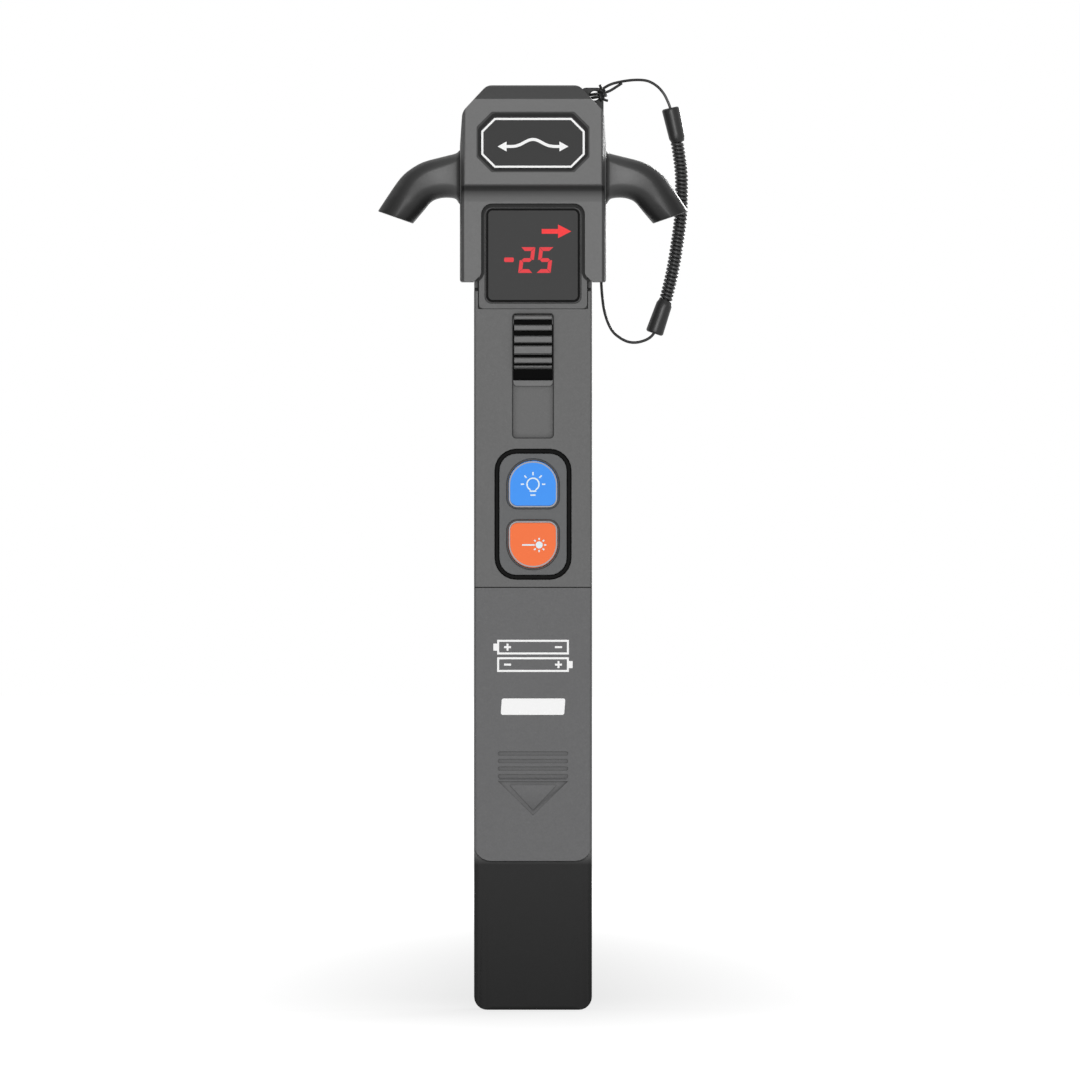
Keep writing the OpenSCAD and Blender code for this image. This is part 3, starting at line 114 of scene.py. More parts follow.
def multiplied(tree, colour, shade):
    both = tree.nodes.new("ShaderNodeVectorMath")
    both.operation = "MULTIPLY"
    tree.links.new(colour, both.inputs[0])
    tree.links.new(shade, both.inputs[1])
    return both.outputs["Vector"]


# a colour ramp through stops of (place from 0 to 1, colour)
def toneRamp(tree, factor, stops):
    tones = tree.nodes.new("ShaderNodeValToRGB")
    tree.links.new(factor, tones.inputs["Fac"])
    marks = tones.color_ramp.elements
    marks[0].color, marks[1].color = stops[0][1], stops[-1][1]
    for at, colour in stops[1:-1]:
        marks.new(at).color = colour
    return tones.outputs["Color"]


def bumpFrom(tree, shader, height, strength, depth):
    bump = tree.nodes.new("ShaderNodeBump")
    bump.inputs["Strength"].default_value = strength
    bump.inputs["Distance"].default_value = depth
    tree.links.new(height, bump.inputs["Height"])
    tree.links.new(bump.outputs["Normal"], shader.inputs["Normal"])


def twoTone(tree, factor, colour, drift):
    mix = tree.nodes.new("ShaderNodeMix")
    mix.data_type = "RGBA"
    mix.inputs["A"].default_value = linear([c * (1 - drift) for c in colour])
    mix.inputs["B"].default_value = linear([min(255, c * (1 + drift)) for c in colour])
    tree.links.new(factor, mix.inputs["Factor"])
    return mix.outputs["Result"]


# painted shade: ambient occlusion darkens the colour in corners, gaps and grooves within the reach, in mm;
# it is full where a place is no more open than the first openness, and ends at the second
def paintCornerShade(tree, colour, least, reach=1.6, openness=(0.35, 0.92)):
    corners = tree.nodes.new("ShaderNodeAmbientOcclusion")
    corners.samples = 8
    corners.inputs["Distance"].default_value = reach * mm
    scale = tree.nodes.new("ShaderNodeVectorMath")
    scale.operation = "SCALE"
    tree.links.new(colour, scale.inputs["Vector"])
    tree.links.new(remap(tree, corners.outputs["AO"], *openness, least, 1), scale.inputs["Scale"])
    return scale.outputs["Vector"]


# the cloud's scale and detail, the grain's detail and roughness, and the strength of its bump
texture = {"cloud": (60, 3), "grain": (4, 0.6), "bump": 0.35}


# fine spark-eroded grain: it makes the gloss uneven and the surface a little rough
def addGrain(tree, shader, place, gloss, grain=2600, depth=0.02):
    fine = noiseNode(tree, place, grain, *texture["grain"])
    tree.links.new(spread(tree, fine, *gloss), shader.inputs["Roughness"])
    bumpFrom(tree, shader, fine, texture["bump"], depth * mm)


# a moulded plastic or silicone: a faint cloud in the colour under the grain; painted corner shade if least < 1
def moulded(name, colour, gloss=(0.5, 0.58), grain=2600, depth=0.02, drift=0.02, specular=0.15, least=0.3):
    material, tree, shader, place = freshMaterial(name)
    tone = twoTone(tree, noiseNode(tree, place, *texture["cloud"]), colour, drift)
    tree.links.new(paintCornerShade(tree, tone, least) if least < 1 else tone, shader.inputs["Base Color"])
    shader.inputs["Specular IOR Level"].default_value = specular
    addGrain(tree, shader, place, gloss, grain, depth)
    return material


# a plated or turned metal: streaks along one axis under a fine grain
def drawnMetal(name, colour, along=(1, 1, 0.08), roughness=(0.22, 0.38)):
    material, tree, shader, place = freshMaterial(name)
    stretch = tree.nodes.new("ShaderNodeMapping")
    stretch.inputs["Scale"].default_value = along
    tree.links.new(place, stretch.inputs["Vector"])
    streaks = noiseNode(tree, stretch.outputs["Vector"], 4000, 3, 0.6)
    tree.links.new(twoTone(tree, streaks, colour, 0.06), shader.inputs["Base Color"])
    tree.links.new(spread(tree, streaks, *roughness), shader.inputs["Roughness"])
    shader.inputs["Metallic"].default_value = 1
    bumpFrom(tree, shader, streaks, 0.2, 0.01 * mm)
    return material


finishes = {
    "shell": moulded("mouldedGrey", (81, 81, 81), specular=0.32),
    "door": moulded("doorGrey", (79, 79, 80), specular=0.32),
    "dark": moulded("mouldedDark", (44, 44, 44), specular=0.06),
    "plate": moulded("plateFilm", (60, 60, 60), (0.5, 0.56), 3600, 0.008, 0.01, 0.06, 1),
    "lens": moulded("displayGlass", (65, 65, 65), (0.4, 0.44), 3000, 0.001, 0.015, 0.03, 1),
    "module": moulded("displayCell", (34, 30, 30), (0.3, 0.4), least=1),
    # black rubber for the keypad's ring, and painted shadow in the gaps beside the slider's ribs and round the
    # lens
    "rubberAndGapShade": moulded("blackRubberAndGapShade", (18, 18, 18), (0.55, 0.7), 3000, 0.02, specular=0.04),
    # painted shade for the plate's recess and round the display window, a darker and a softer grey
    "recess": moulded("paintedRecessShade", (52, 52, 52), (0.5, 0.6), 2600, 0.01, specular=0.05),
    "paintedRecessRimShade": moulded("paintedRecessRimShade", (74, 74, 74), (0.5, 0.6), 2600, 0.01, specular=0.05, least=1),
    # painted shade in the slide track's gap
    "gapShade": moulded("paintedGapShade", (58, 58, 58), (0.55, 0.65), 2600, 0.01, specular=0.03, least=1),
    # painted highlight on the keys' edges
    "rim": moulded("paintedKeyEdgeHighlight", (170, 170, 174), (0.4, 0.5), specular=0.05, least=1),
    "trim": moulded("keyTrim", (84, 84, 84), (0.4, 0.5), specular=0.05, least=0.8),
    "keyPlate": moulded("keyPlateGrey", (87, 88, 89), specular=0.24, least=0.6),
    "blue": moulded("blueSilicone", (76, 157, 255), (0.5, 0.6), 3200, 0.012, 0.01, 0.05, 0.6),
    "orange": moulded("orangeSilicone", (255, 125, 75), (0.5, 0.6), 3200, 0.012, 0.01, 0.05, 0.6),
    "print": moulded("whitePrint", (255, 255, 255), (0.5, 0.6), 4000, 0.004, 0.004, 0.05, 1),
    "keyPrint": moulded("keyPrint", (232, 248, 255), (0.5, 0.6), 4000, 0.004, 0.004, 0.05, 1),
    "sleeve": moulded("sleevePlastic", (46, 46, 46), (0.36, 0.42), 4000, 0.008, 0.03, 0.22),
    "board": moulded("boardLacquer", (24, 96, 52), (0.25, 0.4), 1800, 0.01, 0.08),
    "steel": drawnMetal("platedSteel", (196, 198, 200)),
    "brass": drawnMetal("turnedBrass", (212, 176, 96)),
}


# lamp and lens window: clear plastic with a slightly uneven surface
def clearPlastic():
    material, tree, shader, place = freshMaterial("clearPlastic")
    ripple = noiseNode(tree, place, 900, 2)
    shader.inputs["Base Color"].default_value = (0.93, 0.95, 0.97, 1)
    shader.inputs["Transmission Weight"].default_value = 0.9
    shader.inputs["IOR"].default_value = 1.49
    tree.links.new(spread(tree, ripple, 0.05, 0.12), shader.inputs["Roughness"])
    bumpFrom(tree, shader, ripple, 0.1, 0.01 * mm)
    return material


# the end of the tool: dark, darker towards the bottom; at its upper rim a painted shading fades up into a lit
# grey, lighter than the shell's own colour; (height in mm, grey) stops
noseStops = [(0, 40), (30.8, 49), (31.7, 72), (33.4, 112)]


def nosePlasticAndShade(stops):
    material, tree, shader, place = freshMaterial("nosePlasticAndShade")
    top = stops[-1][0]
    height = remap(tree, axes(tree, place)["Z"], 0, top * mm)
    tones = toneRamp(tree, height, [(at / top, linear([grey] * 3)) for at, grey in stops])
    tree.links.new(tones, shader.inputs["Base Color"])
    shader.inputs["Specular IOR Level"].default_value = 0.02
    addGrain(tree, shader, place, (0.44, 0.54))
    return material


# lit signs of the display, which glow a little unevenly
def litSegment(name, colour):
    material, tree, shader, place = freshMaterial(name)
    glow = noiseNode(tree, place, 2500, 2)
    tree.links.new(twoTone(tree, glow, colour, 0.05), shader.inputs["Emission Color"])
    shader.inputs["Base Color"].default_value = (0.04, 0.003, 0.003, 1)
    shader.inputs["Emission Strength"].default_value = 1
    shader.inputs["Roughness"].default_value = 0.6
    shader.inputs["Specular IOR Level"].default_value = 0
    return material


# thumb piece: grey ribs over black grooves; the depths are places along Y in mm
ribTones = {"grey": 94, "black": 14, "sheen": 3,
            "depths": [(-13, "grey"), (-11.72, "grey"), (-11.6, "black"), (-10.26, "black"), (-10.24, "grey"),
                       (-9, "grey")]}


def ribbedPlastic(values):
    material, tree, shader, place = freshMaterial("ribbedPlastic")
    front, back = values["depths"][0][0], values["depths"][-1][0]
    depth = remap(tree, axes(tree, place)["Y"], front * mm, back * mm)
    tones = toneRamp(tree, depth, [((at - front) / (back - front), linear([values[tone]] * 3))
                                   for at, tone in values["depths"]])
    tree.links.new(paintCornerShade(tree, tones, 0.5), shader.inputs["Base Color"])
    tree.links.new(reckon(tree, "MULTIPLY", tones, values["sheen"]), shader.inputs["Specular IOR Level"])
    addGrain(tree, shader, place, (0.5, 0.58))
    return material


# head, arms, cover, cells and strap: tones laid over one colour, which dim its sheen too; on the head, arms
# and cover they are painted shade, on the cells a copper and dark two-tone, and on the strap a darker thin
# string;
# each zone runs along one axis with stops of (place in mm, tone), and works on what lies in front of its "to"
# along Y, where it fades out
def zonedPlastic(name, colour, zones, specular, depth=0.02, least=0.3, rough=(0.5, 0.58)):
    material, tree, shader, place = freshMaterial(name)
    parts, shade, fade, drift = axes(tree, place), None, 0.4, 0.02
    for zone in zones:
        stops, value = zone["stops"], parts[zone["along"]]
        if zone["along"] == "X":
            value = reckon(tree, "ABSOLUTE", value)
        first, last = stops[0][0], stops[-1][0]
        ramp = toneRamp(tree, remap(tree, value, first * mm, last * mm), [
            ((at - first) / (last - first), (tone, tone, tone, 1)) for at, tone in stops])
        behind = remap(tree, parts["Y"], (zone["to"] - fade) * mm, zone["to"] * mm)
        keep = tree.nodes.new("ShaderNodeMix")
        keep.data_type = "RGBA"
        keep.inputs["B"].default_value = (1, 1, 1, 1)
        tree.links.new(ramp, keep.inputs["A"])
        tree.links.new(behind, keep.inputs["Factor"])
        shade = multiplied(tree, shade, keep.outputs["Result"]) if shade else keep.outputs["Result"]
    cloud = twoTone(tree, noiseNode(tree, place, *texture["cloud"]), colour, drift)
    toned = multiplied(tree, cloud, shade)
    tree.links.new(paintCornerShade(tree, toned, least), shader.inputs["Base Color"])
    tree.links.new(reckon(tree, "MULTIPLY", shade, specular), shader.inputs["Specular IOR Level"])
    addGrain(tree, shader, place, rough, depth=depth)
    return material


# painted shade on the hood: a dark band that fades down under the brow's step, a darker top bevel, and darker
# strips on its side cheeks
finishes["hood"] = zonedPlastic("hoodGrey", (88, 88, 88), [
    {"along": "Z", "to": -11.2, "stops": [(171, 1), (172.2, 0.82), (173.2, 0.5), (173.7, 0.32), (174.5, 0.42),
                                          (174.8, 1), (175, 1)]},
    {"along": "Z", "to": -8.6, "stops": [(192.8, 1), (193.02, 1), (193.06, 0.66), (196, 0.62)]},
    {"along": "X", "to": -11.2, "stops": [(14.5, 1), (14.66, 0.4), (15.2, 0.36), (15.34, 1), (15.5, 1)]}],
    specular=0.36)
# painted shade on the arms: the head's plastic in a darker grey with more sheen, darker still towards the tips
# and where their faces turn back from the front
finishes["arms"] = zonedPlastic("armGrey", (50, 50, 50), [
    {"along": "X", "to": 20, "stops": [(15, 0.4), (15.9, 0.5), (16.4, 0.98), (20, 0.96), (23, 0.8),
                                       (26.5, 0.68), (29.5, 0.6), (33, 0.54)]},
    {"along": "Y", "to": 20, "stops": [(-8.2, 1), (-7.2, 1), (-6.2, 0.78), (-4.6, 0.58), (-3, 0.5), (1, 0.5),
                                       (4, 1), (6, 1)]}],
    specular=0.45, rough=(0.42, 0.48))
# painted shade on the ear of the back cover, above the hood
finishes["cover"] = zonedPlastic("coverGrey", (84, 84, 84), [
    {"along": "Z", "to": 12.6, "stops": [(190.5, 1), (191.5, 0.5), (197, 0.42)]}], specular=0.34)
finishes["cord"] = zonedPlastic("strapPlastic", (48, 48, 48), [
    {"along": "X", "to": 20, "stops": [(0, 0.5), (27.2, 0.5), (28, 1), (40, 1)]}],
    specular=0.4, depth=0.001, least=0.7, rough=(0.38, 0.44))

# cells: a copper band at the button's end and a dark jacket; the right cell stands upside down
jacket = {"colour": (206, 142, 80), "band": 0.32, "dark": 0.12, "step": 0.2, "specular": 0.6, "depth": 0.002,
          "least": 0.6, "rough": (0.24, 0.3)}
for side, node in (("left", "battery_cell_left"), ("right", "battery_cell_right")):
    foot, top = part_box(node)[0].z / mm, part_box(node)[1].z / mm
    band = (top - foot) * jacket["band"]
    edge, ends = (top - band, (jacket["dark"], 1)) if side == "left" else (foot + band, (1, jacket["dark"]))
    finishes[side + "Cell"] = zonedPlastic(side + "CellJacket", jacket["colour"], [
        {"along": "Z", "to": 20, "stops": [(foot, ends[0]), (edge, ends[0]), (edge + jacket["step"], ends[1]),
                                           (top, ends[1])]}],
        jacket["specular"], jacket["depth"], jacket["least"], jacket["rough"])
finishes["ribs"] = ribbedPlastic(ribTones)
finishes["clear"] = clearPlastic()
finishes["nose"] = nosePlasticAndShade(noseStops)
finishes["lit"] = litSegment("litSegment", (226, 74, 80))
finishes["litArrow"] = litSegment("litArrow", (247, 72, 74))
print("materials made:", len(finishes))


def link(piece):
    bpy.context.scene.collection.objects.link(piece)
    return piece


# draws a wide round along X together into one crisp edge; the chamfers' corners move along with their planes
def drawCrisp(bm, crisp):
    edgeY, edgeZ = crisp["edge"]
    (lowY, highY), (lowZ, highZ) = crisp["y"], crisp["z"]
    for vert in bm.verts:
        x, y, z = vert.co / mm
        if lowY < y < highY and lowZ < z < highZ:
            if abs(x) > crisp["chamferFrom"]:
                x -= math.copysign(edgeZ - z, x)
            vert.co = Vector((x, edgeY, edgeZ)) * mm


# draws the front corners of a body in to a smaller round; each point keeps its place across and its height
def drawTight(bm, tight, past=0.01, off=0.03):
    half, front = tight["corner"]
    wide, small, foot = tight["wide"], tight["small"], tight.get("foot", 0)
    for vert in bm.verts:
        x, y, z = vert.co / mm
        across = abs(x) - (half - wide)
        if across > 0 and y < front + wide + past and abs(math.hypot(across, y - front - wide) - wide) < off:
            over = max(0, abs(x) - (half - small))
            y = front + small - math.sqrt(max(0, small ** 2 - over ** 2))
            if z < foot:
                y = max(y, front + foot - math.sqrt(max(0, foot ** 2 - (foot - z) ** 2)))
            vert.co.y = y * mm


cleaning = {"weld": 0.002, "merge": 0.03, "flat": 0.4}  # two lengths in mm and an angle in degrees


# copies a node's mesh, joins its loose triangles and rounds its edges, then stands for the node
def rounded(node, finish, body, width=0.25, segments=2, angle=38, crisp=None, tight=None):
    bm = bmesh.new()
    bm.from_mesh(nodes[node].data)
    bmesh.ops.remove_doubles(bm, verts=bm.verts, dist=cleaning["weld"] * mm)
    if crisp:
        drawCrisp(bm, crisp)
    if tight:
        drawTight(bm, tight)
    bmesh.ops.remove_doubles(bm, verts=bm.verts, dist=cleaning["merge"] * mm)
    bmesh.ops.dissolve_degenerate(bm, dist=cleaning["merge"] * mm, edges=bm.edges)
    bmesh.ops.dissolve_limit(bm, angle_limit=math.radians(cleaning["flat"]), verts=bm.verts, edges=bm.edges)
    mesh = bpy.data.meshes.new(node + "_dressed")
    bm.to_mesh(mesh)
    bm.free()
    mesh.materials.clear()
    mesh.materials.append(finishes[finish])
    mesh.polygons.foreach_set("use_smooth", [True] * len(mesh.polygons))
    mesh.set_sharp_from_angle(angle=math.radians(angle))
    piece = link(bpy.data.objects.new(node + "_dressed", mesh))
    if width:
        bevel = piece.modifiers.new("edges", "BEVEL")
        bevel.width = width * mm
        bevel.segments = segments
        bevel.limit_method = "ANGLE"
        bevel.angle_limit = math.radians(angle)
        bevel.use_clamp_overlap = False
        bevel.miter_outer = "MITER_ARC"
    flats = piece.modifiers.new("flats", "WEIGHTED_NORMAL")
    flats.keep_sharp = True
    flats.weight = 100
    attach(piece, body)
    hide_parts(node)
    return piece


# a smooth line through all the points
def smoothRoute(points, steps):
    route = [Vector(p) for p in points]
    line = []
    for i in range(len(route) - 1):
        before, start, end = route[max(i - 1, 0)], route[i], route[i + 1]
        after = route[min(i + 2, len(route) - 1)]
        bend = 2 * before - 5 * start + 4 * end - after
        twist = 3 * start - before - 3 * end + after
        for k in range(steps):
            t = k / steps
            line.append(0.5 * (2 * start + (end - before) * t + bend * t ** 2 + twist * t ** 3))
    return line + [route[-1]]


def strand(name, points, diameter, finish, body, closed=False, sides=3):
    data = bpy.data.curves.new(name, "CURVE")
    data.dimensions = "3D"
    data.bevel_depth = 1  # each point's radius is the cord's own, in metres
    data.bevel_resolution = sides
    data.use_fill_caps = True
    spline = data.splines.new("POLY")
    spline.points.add(len(points) - 1)
    for place, point in zip(spline.points, points):
        place.co = (*(Vector(point) * mm), 1)
        place.radius = diameter / 2 * mm
    spline.use_cyclic_u = closed
    spline.use_smooth = True
    data.materials.append(finishes[finish])
    piece = link(bpy.data.objects.new(name, data))
    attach(piece, body)
    return piece


# strap: one thin cord from the knot, through a sleeve into the coil, and back up behind the head
strap = {
    "diameter": 0.6, "coilWire": 0.7, "coilDiameter": 2.86, "turns": 47, "perTurn": 16,
    "lead": 2.4, "leadSteps": 8, "leadShare": 0.02, "thinEnds": 20,
    "steps": {"upper": 8, "coil": 40, "lower": 8, "second": 6, "tail": 5, "knot": 72, "loop": 48},
    "upper": [(14.9, 10.5, 195.6), (16.1, 10.8, 196.3), (17.5, 11, 196.8), (20.1, 11.5, 197.3),
              (22.6, 11.8, 197.45), (24.6, 12, 197.15), (26.4, 12, 196.1), (27.75, 12, 194.6),
              (28.6, 12, 193), (29.2, 12, 191.4), (29.62, 12, 189.6), (29.98, 12, 188)],
    "coil": [(30.3, 12, 186.4), (31.4, 12, 179), (31.6, 12, 173.9), (31.4, 12, 168.5), (30.7, 12, 163),
             (29.7, 12, 157), (28.2, 12, 150.6), (27.42, 12, 148.33)],
    "lower": [(27.1, 12, 147.4), (26.4, 12, 145.4), (25.7, 12, 143.6), (24.7, 12, 142.55), (23.3, 12, 141.9),
              (21.7, 12, 141.6), (20.1, 12, 141.8), (18.5, 12.1, 142.6), (17, 12.3, 143.9),
              (15.9, 12.6, 145.9), (15.1, 13, 148.6), (14.7, 13.5, 151.6), (14.5, 13.9, 154.8),
              (14.4, 14.3, 160), (14.4, 14.3, 168), (14.4, 14.3, 176), (14.4, 14.3, 184), (14.6, 14.2, 190),
              (14.7, 14, 194.2)],
    "second": [(14.9, 10.5, 194.6), (16.3, 10.7, 195.1), (17.7, 11, 195.95), (18.9, 11.25, 196.75)],
    "knotAt": (14.6, 10.45, 194.4), "knotSize": (0.2, 0.26, 0.4), "knotWire": 0.78, "tailShare": 0.95,
    "tails": [[(14.6, 10.3, 195.1), (14.4, 10, 195.8), (14.2, 9.9, 196.4)],
              [(14.7, 10.2, 193.7), (15.2, 10, 193.2), (15.9, 10.1, 193)]],
    "loops": [((13.75, 12.4, 194.5), 1.75, 0.25), ((13.8, 12.4, 193.85), 1.75, 0.3)],
}


def coilLine(values):
    line = smoothRoute(values["coil"], values["steps"]["coil"])
    lengths = [0]
    for a, b in zip(line, line[1:]):
        lengths.append(lengths[-1] + (b - a).length)
    total, radius = lengths[-1], (values["coilDiameter"] - values["coilWire"]) / 2
    rate, full = 2 * math.pi * values["turns"] / total, 2 * math.pi / values["perTurn"]
    lead, least = values["lead"], values["leadShare"]
    points, k, s, turn = [], 0, 0, 0
    while s < total:
        while k < len(lengths) - 2 and lengths[k + 1] < s:
            k += 1
        centre = line[k].lerp(line[k + 1], (s - lengths[k]) / (lengths[k + 1] - lengths[k]))
        ahead = (line[min(k + 2, len(line) - 1)] - line[max(k - 1, 0)]).normalized()
        side = ahead.cross(Vector((0, 1, 0))).normalized()
        grown = max(least, min(1, s / lead, (total - s) / lead))
        points.append(centre + radius * grown * (math.cos(turn) * side + math.sin(turn) * Vector((0, 1, 0))))
        step = min(lead / values["leadSteps"], full / rate / grown)  # the turns close up as they widen
        turn += rate * grown * step
        s += step
    return points


def lineLength(points):
    return sum((Vector(b) - Vector(a)).length for a, b in zip(points, points[1:]))


def strapStrand(name, points, diameter=strap["diameter"], closed=False):
    return strand(name, points, diameter, "cord", "handle", closed)


strapSteps = strap["steps"]
strapParts = [smoothRoute(strap["upper"], strapSteps["upper"]), coilLine(strap),
              smoothRoute(strap["lower"], strapSteps["lower"])]
strapLine = sum(strapParts, [])
strapCord = strapStrand("strap_cord", strapLine)
coilFrom, coilTo = len(strapParts[0]) + strap["thinEnds"], -len(strapParts[2]) - strap["thinEnds"]
for place in strapCord.data.splines[0].points[coilFrom:coilTo]:
    place.radius = strap["coilWire"] / 2 * mm
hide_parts("strap_string_upper", "strap_coil", "strap_string_lower")
secondStrand = strapStrand("strap_second_strand", smoothRoute(strap["second"], strapSteps["second"]))
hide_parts("strap_string_second")


# small overhand knot with two cut tails, and the two loops round the ear
def knotCurve(values):
    points = []
    for i in range(values["steps"]["knot"]):
        t = 2 * math.pi * i / values["steps"]["knot"]
        points.append(Vector(values["knotAt"]) + Vector(values["knotSize"]) * Vector((
            math.sin(t) + 2 * math.sin(2 * t), -1.4 * math.sin(3 * t), math.cos(t) - 2 * math.cos(2 * t))))
    return points


def loopCurve(centre, radius, tilt, steps=strapSteps["loop"]):
    return [Vector(centre) + Vector((radius * math.cos(a), radius * math.sin(a), tilt * math.cos(a)))
            for a in (2 * math.pi * i / steps for i in range(steps))]


strapKnot = strapStrand("strap_knot_wrap", knotCurve(strap), strap["knotWire"], closed=True)
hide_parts("strap_knot")
strapLoops = [strapStrand("strap_ear_loop_" + side, loopCurve(*loop), closed=True)
              for side, loop in zip(("upper", "lower"), strap["loops"])]
tailWire = strap["diameter"] * strap["tailShare"]
strapTails = [strapStrand("strap_tail_" + side, smoothRoute(tail, strapSteps["tail"]), tailWire)
              for side, tail in zip(("upper", "lower"), strap["tails"])]
upperSleeve = rounded("strap_sleeve_upper", "sleeve", "handle", 0.15, 2, 30)
lowerSleeve = rounded("strap_sleeve_lower", "sleeve", "handle", 0.15, 2, 30)
print("strap length in mm:", round(lineLength(strapLine), 1))

# shells and moulded parts with softly rounded edges; the body's and the nose's front corners are drawn in
bodyCorner = {"corner": (12.5, -10.5), "wide": 1.2, "small": 0.4}
noseCorner = {"corner": (12.5, -8.7), "wide": 4, "small": 0.8, "foot": 0.8}
tightCorners = {"housing_front": bodyCorner, "neck_frame": bodyCorner, "nose_housing": noseCorner}
# node: finish, slot, the edges' width in mm and segments, and the angle that counts as an edge
shells = {
    "guide_arms": ("arms", "shell", 0.15, 2, 40), "head_back_cover": ("cover", "shell", 0.25, 2, 38),
    "housing_front": ("shell", "shell", 0.1, 2, 38), "housing_rear": ("shell", "shell", 0.12, 2, 38),
    "nose_housing": ("nose", "dark_plastic", 0.1, 2, 38), "neck_frame": ("shell", "shell", 0.08, 2, 38),
    "display_bezel": ("shell", "shell", 0.08, 2, 38), "name_plate": ("plate", "plate", 0.1, 2, 38),
    "display_lens": ("lens", "lens", 0.12, 2, 38), "keypad_ring": ("rubberAndGapShade", "black_rubber", 0.2, 2, 38),
    "keypad_plate": ("keyPlate", "shell", 0.1, 2, 38), "keypad_trims": ("trim", "pale_trim", 0.05, 2, 38),
}
for node, (finish, slot, width, segments, angle) in shells.items():
    rounded(node, finish, "handle", width, segments, angle, tight=tightCorners.get(node))
hoodEdge = {"edge": (-13.5, 193), "y": (-13.6, -12.43), "z": (191.72, 193.69), "chamferFrom": 11}
rounded("head_hood", "hood", "handle", 0, 0, 28, hoodEdge)
rounded("battery_door", "door", "door", 0, 0, 38, tight=bodyCorner)
rounded("thumb_slider", "ribs", "thumb_slide", 0.08, 2, 30)
rounded("slider_carriage", "dark", "thumb_slide", 0.1, 2, 38)
rounded("torch_button", "blue", "torch_key", 0.1, 2, 38)
rounded("laser_button", "orange", "laser_key", 0.1, 2, 38)
print("shells dressed")

# the other nodes keep their own shape and get their finish
inner = {
    "upper_anvil": "dark", "detectors": "steel", "main_pcb": "board", "tact_switches": "steel",
    "display_module": "module", "lower_jaw": "dark", "plunger_rod": "steel", "jaw_spring": "steel",
    "battery_tray": "dark", "battery_cell_left": "leftCell", "battery_cell_right": "rightCell",
    "battery_springs": "steel", "battery_contacts": "steel", "vfl_laser_module": "brass", "vfl_port": "steel",
    "torch_led": "clear", "torch_lens": "clear", "housing_screws": "steel", "nose_screws": "steel",
    "head_screws": "steel",
}
for node, finish in inner.items():
    data = nodes[node].data
    data.materials.clear()
    data.materials.append(finishes[finish])
print("inner parts finished")


# a print's whole depth and how far it lies in its face, in mm
ink = {"depth": 0.05, "sink": 0.02}


# thin printed or lit shapes in the X and Z plane, from outlines in mm; a second outline inside is a hole
def printedShape(name, outlines, face, finish, body, depth=ink["depth"], sink=ink["sink"]):
    data = bpy.data.curves.new(name, "CURVE")
    data.dimensions, data.fill_mode, data.extrude = "2D", "BOTH", depth / 2 * mm
    for outline in outlines:
        spline = data.splines.new("POLY")
        spline.points.add(len(outline) - 1)
        for place, (x, z) in zip(spline.points, outline):
            place.co = (x * mm, z * mm, 0, 1)
        spline.use_cyclic_u = True
    flat = bpy.data.objects.new(name + "Flat", data)
    mesh = bpy.data.meshes.new_from_object(flat)
    bpy.data.objects.remove(flat)
    mesh.name = name
    forward = Matrix.Translation((0, (face + sink - depth / 2) * mm, 0))
    mesh.transform(forward @ Matrix.Rotation(math.radians(90), 4, "X"))
    mesh.materials.clear()
    mesh.materials.append(finishes[finish])
    piece = link(bpy.data.objects.new(name, mesh))
    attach(piece, body)
    return piece


def octagon(halfWidth, low, high, cut):
    return [(halfWidth, low + cut), (halfWidth, high - cut), (halfWidth - cut, high), (cut - halfWidth, high),
            (-halfWidth, high - cut), (-halfWidth, low + cut), (cut - halfWidth, low), (halfWidth - cut, low)]


def arc(centre, radius, start, end, steps=16):
    turns = [math.radians(start + (end - start) * i / steps) for i in range(steps + 1)]
    return [(centre[0] + radius * math.cos(a), centre[1] + radius * math.sin(a)) for a in turns]


def bar(start, end, width):
    a, b = Vector(start), Vector(end)
    side = (b - a).normalized().orthogonal() * width / 2
    return [tuple(a + side), tuple(b + side), tuple(b - side), tuple(a - side)]


# the outline of a line of one width through the points
def ribbon(points, width):
    way = [Vector(p) for p in points]
    left, right = [], []
    for i, p in enumerate(way):
        along = (way[min(i + 1, len(way) - 1)] - way[max(i - 1, 0)]).normalized()
        side = Vector((-along.y, along.x)) * width / 2
        left.append(tuple(p + side))
        right.append(tuple(p - side))
    return left + right[::-1]


# an outline with rounded corners, of one radius or one for each corner
def softCorners(points, radii, steps=5):
    outline = []
    for i, corner in enumerate(points):
        b = Vector(corner)
        radius = radii[i] if isinstance(radii, list) else radii
        toLast = (Vector(points[i - 1]) - b).normalized()
        toNext = (Vector(points[(i + 1) % len(points)]) - b).normalized()
        half = math.acos(max(-1, min(1, toLast.dot(toNext)))) / 2
        centre = b + (toLast + toNext).normalized() * radius / math.sin(half)
        start, end = b + toLast * radius / math.tan(half), b + toNext * radius / math.tan(half)
        for s in range(steps + 1):
            outline.append(tuple(centre + (start.lerp(end, s / steps) - centre).normalized() * radius))
    return outline


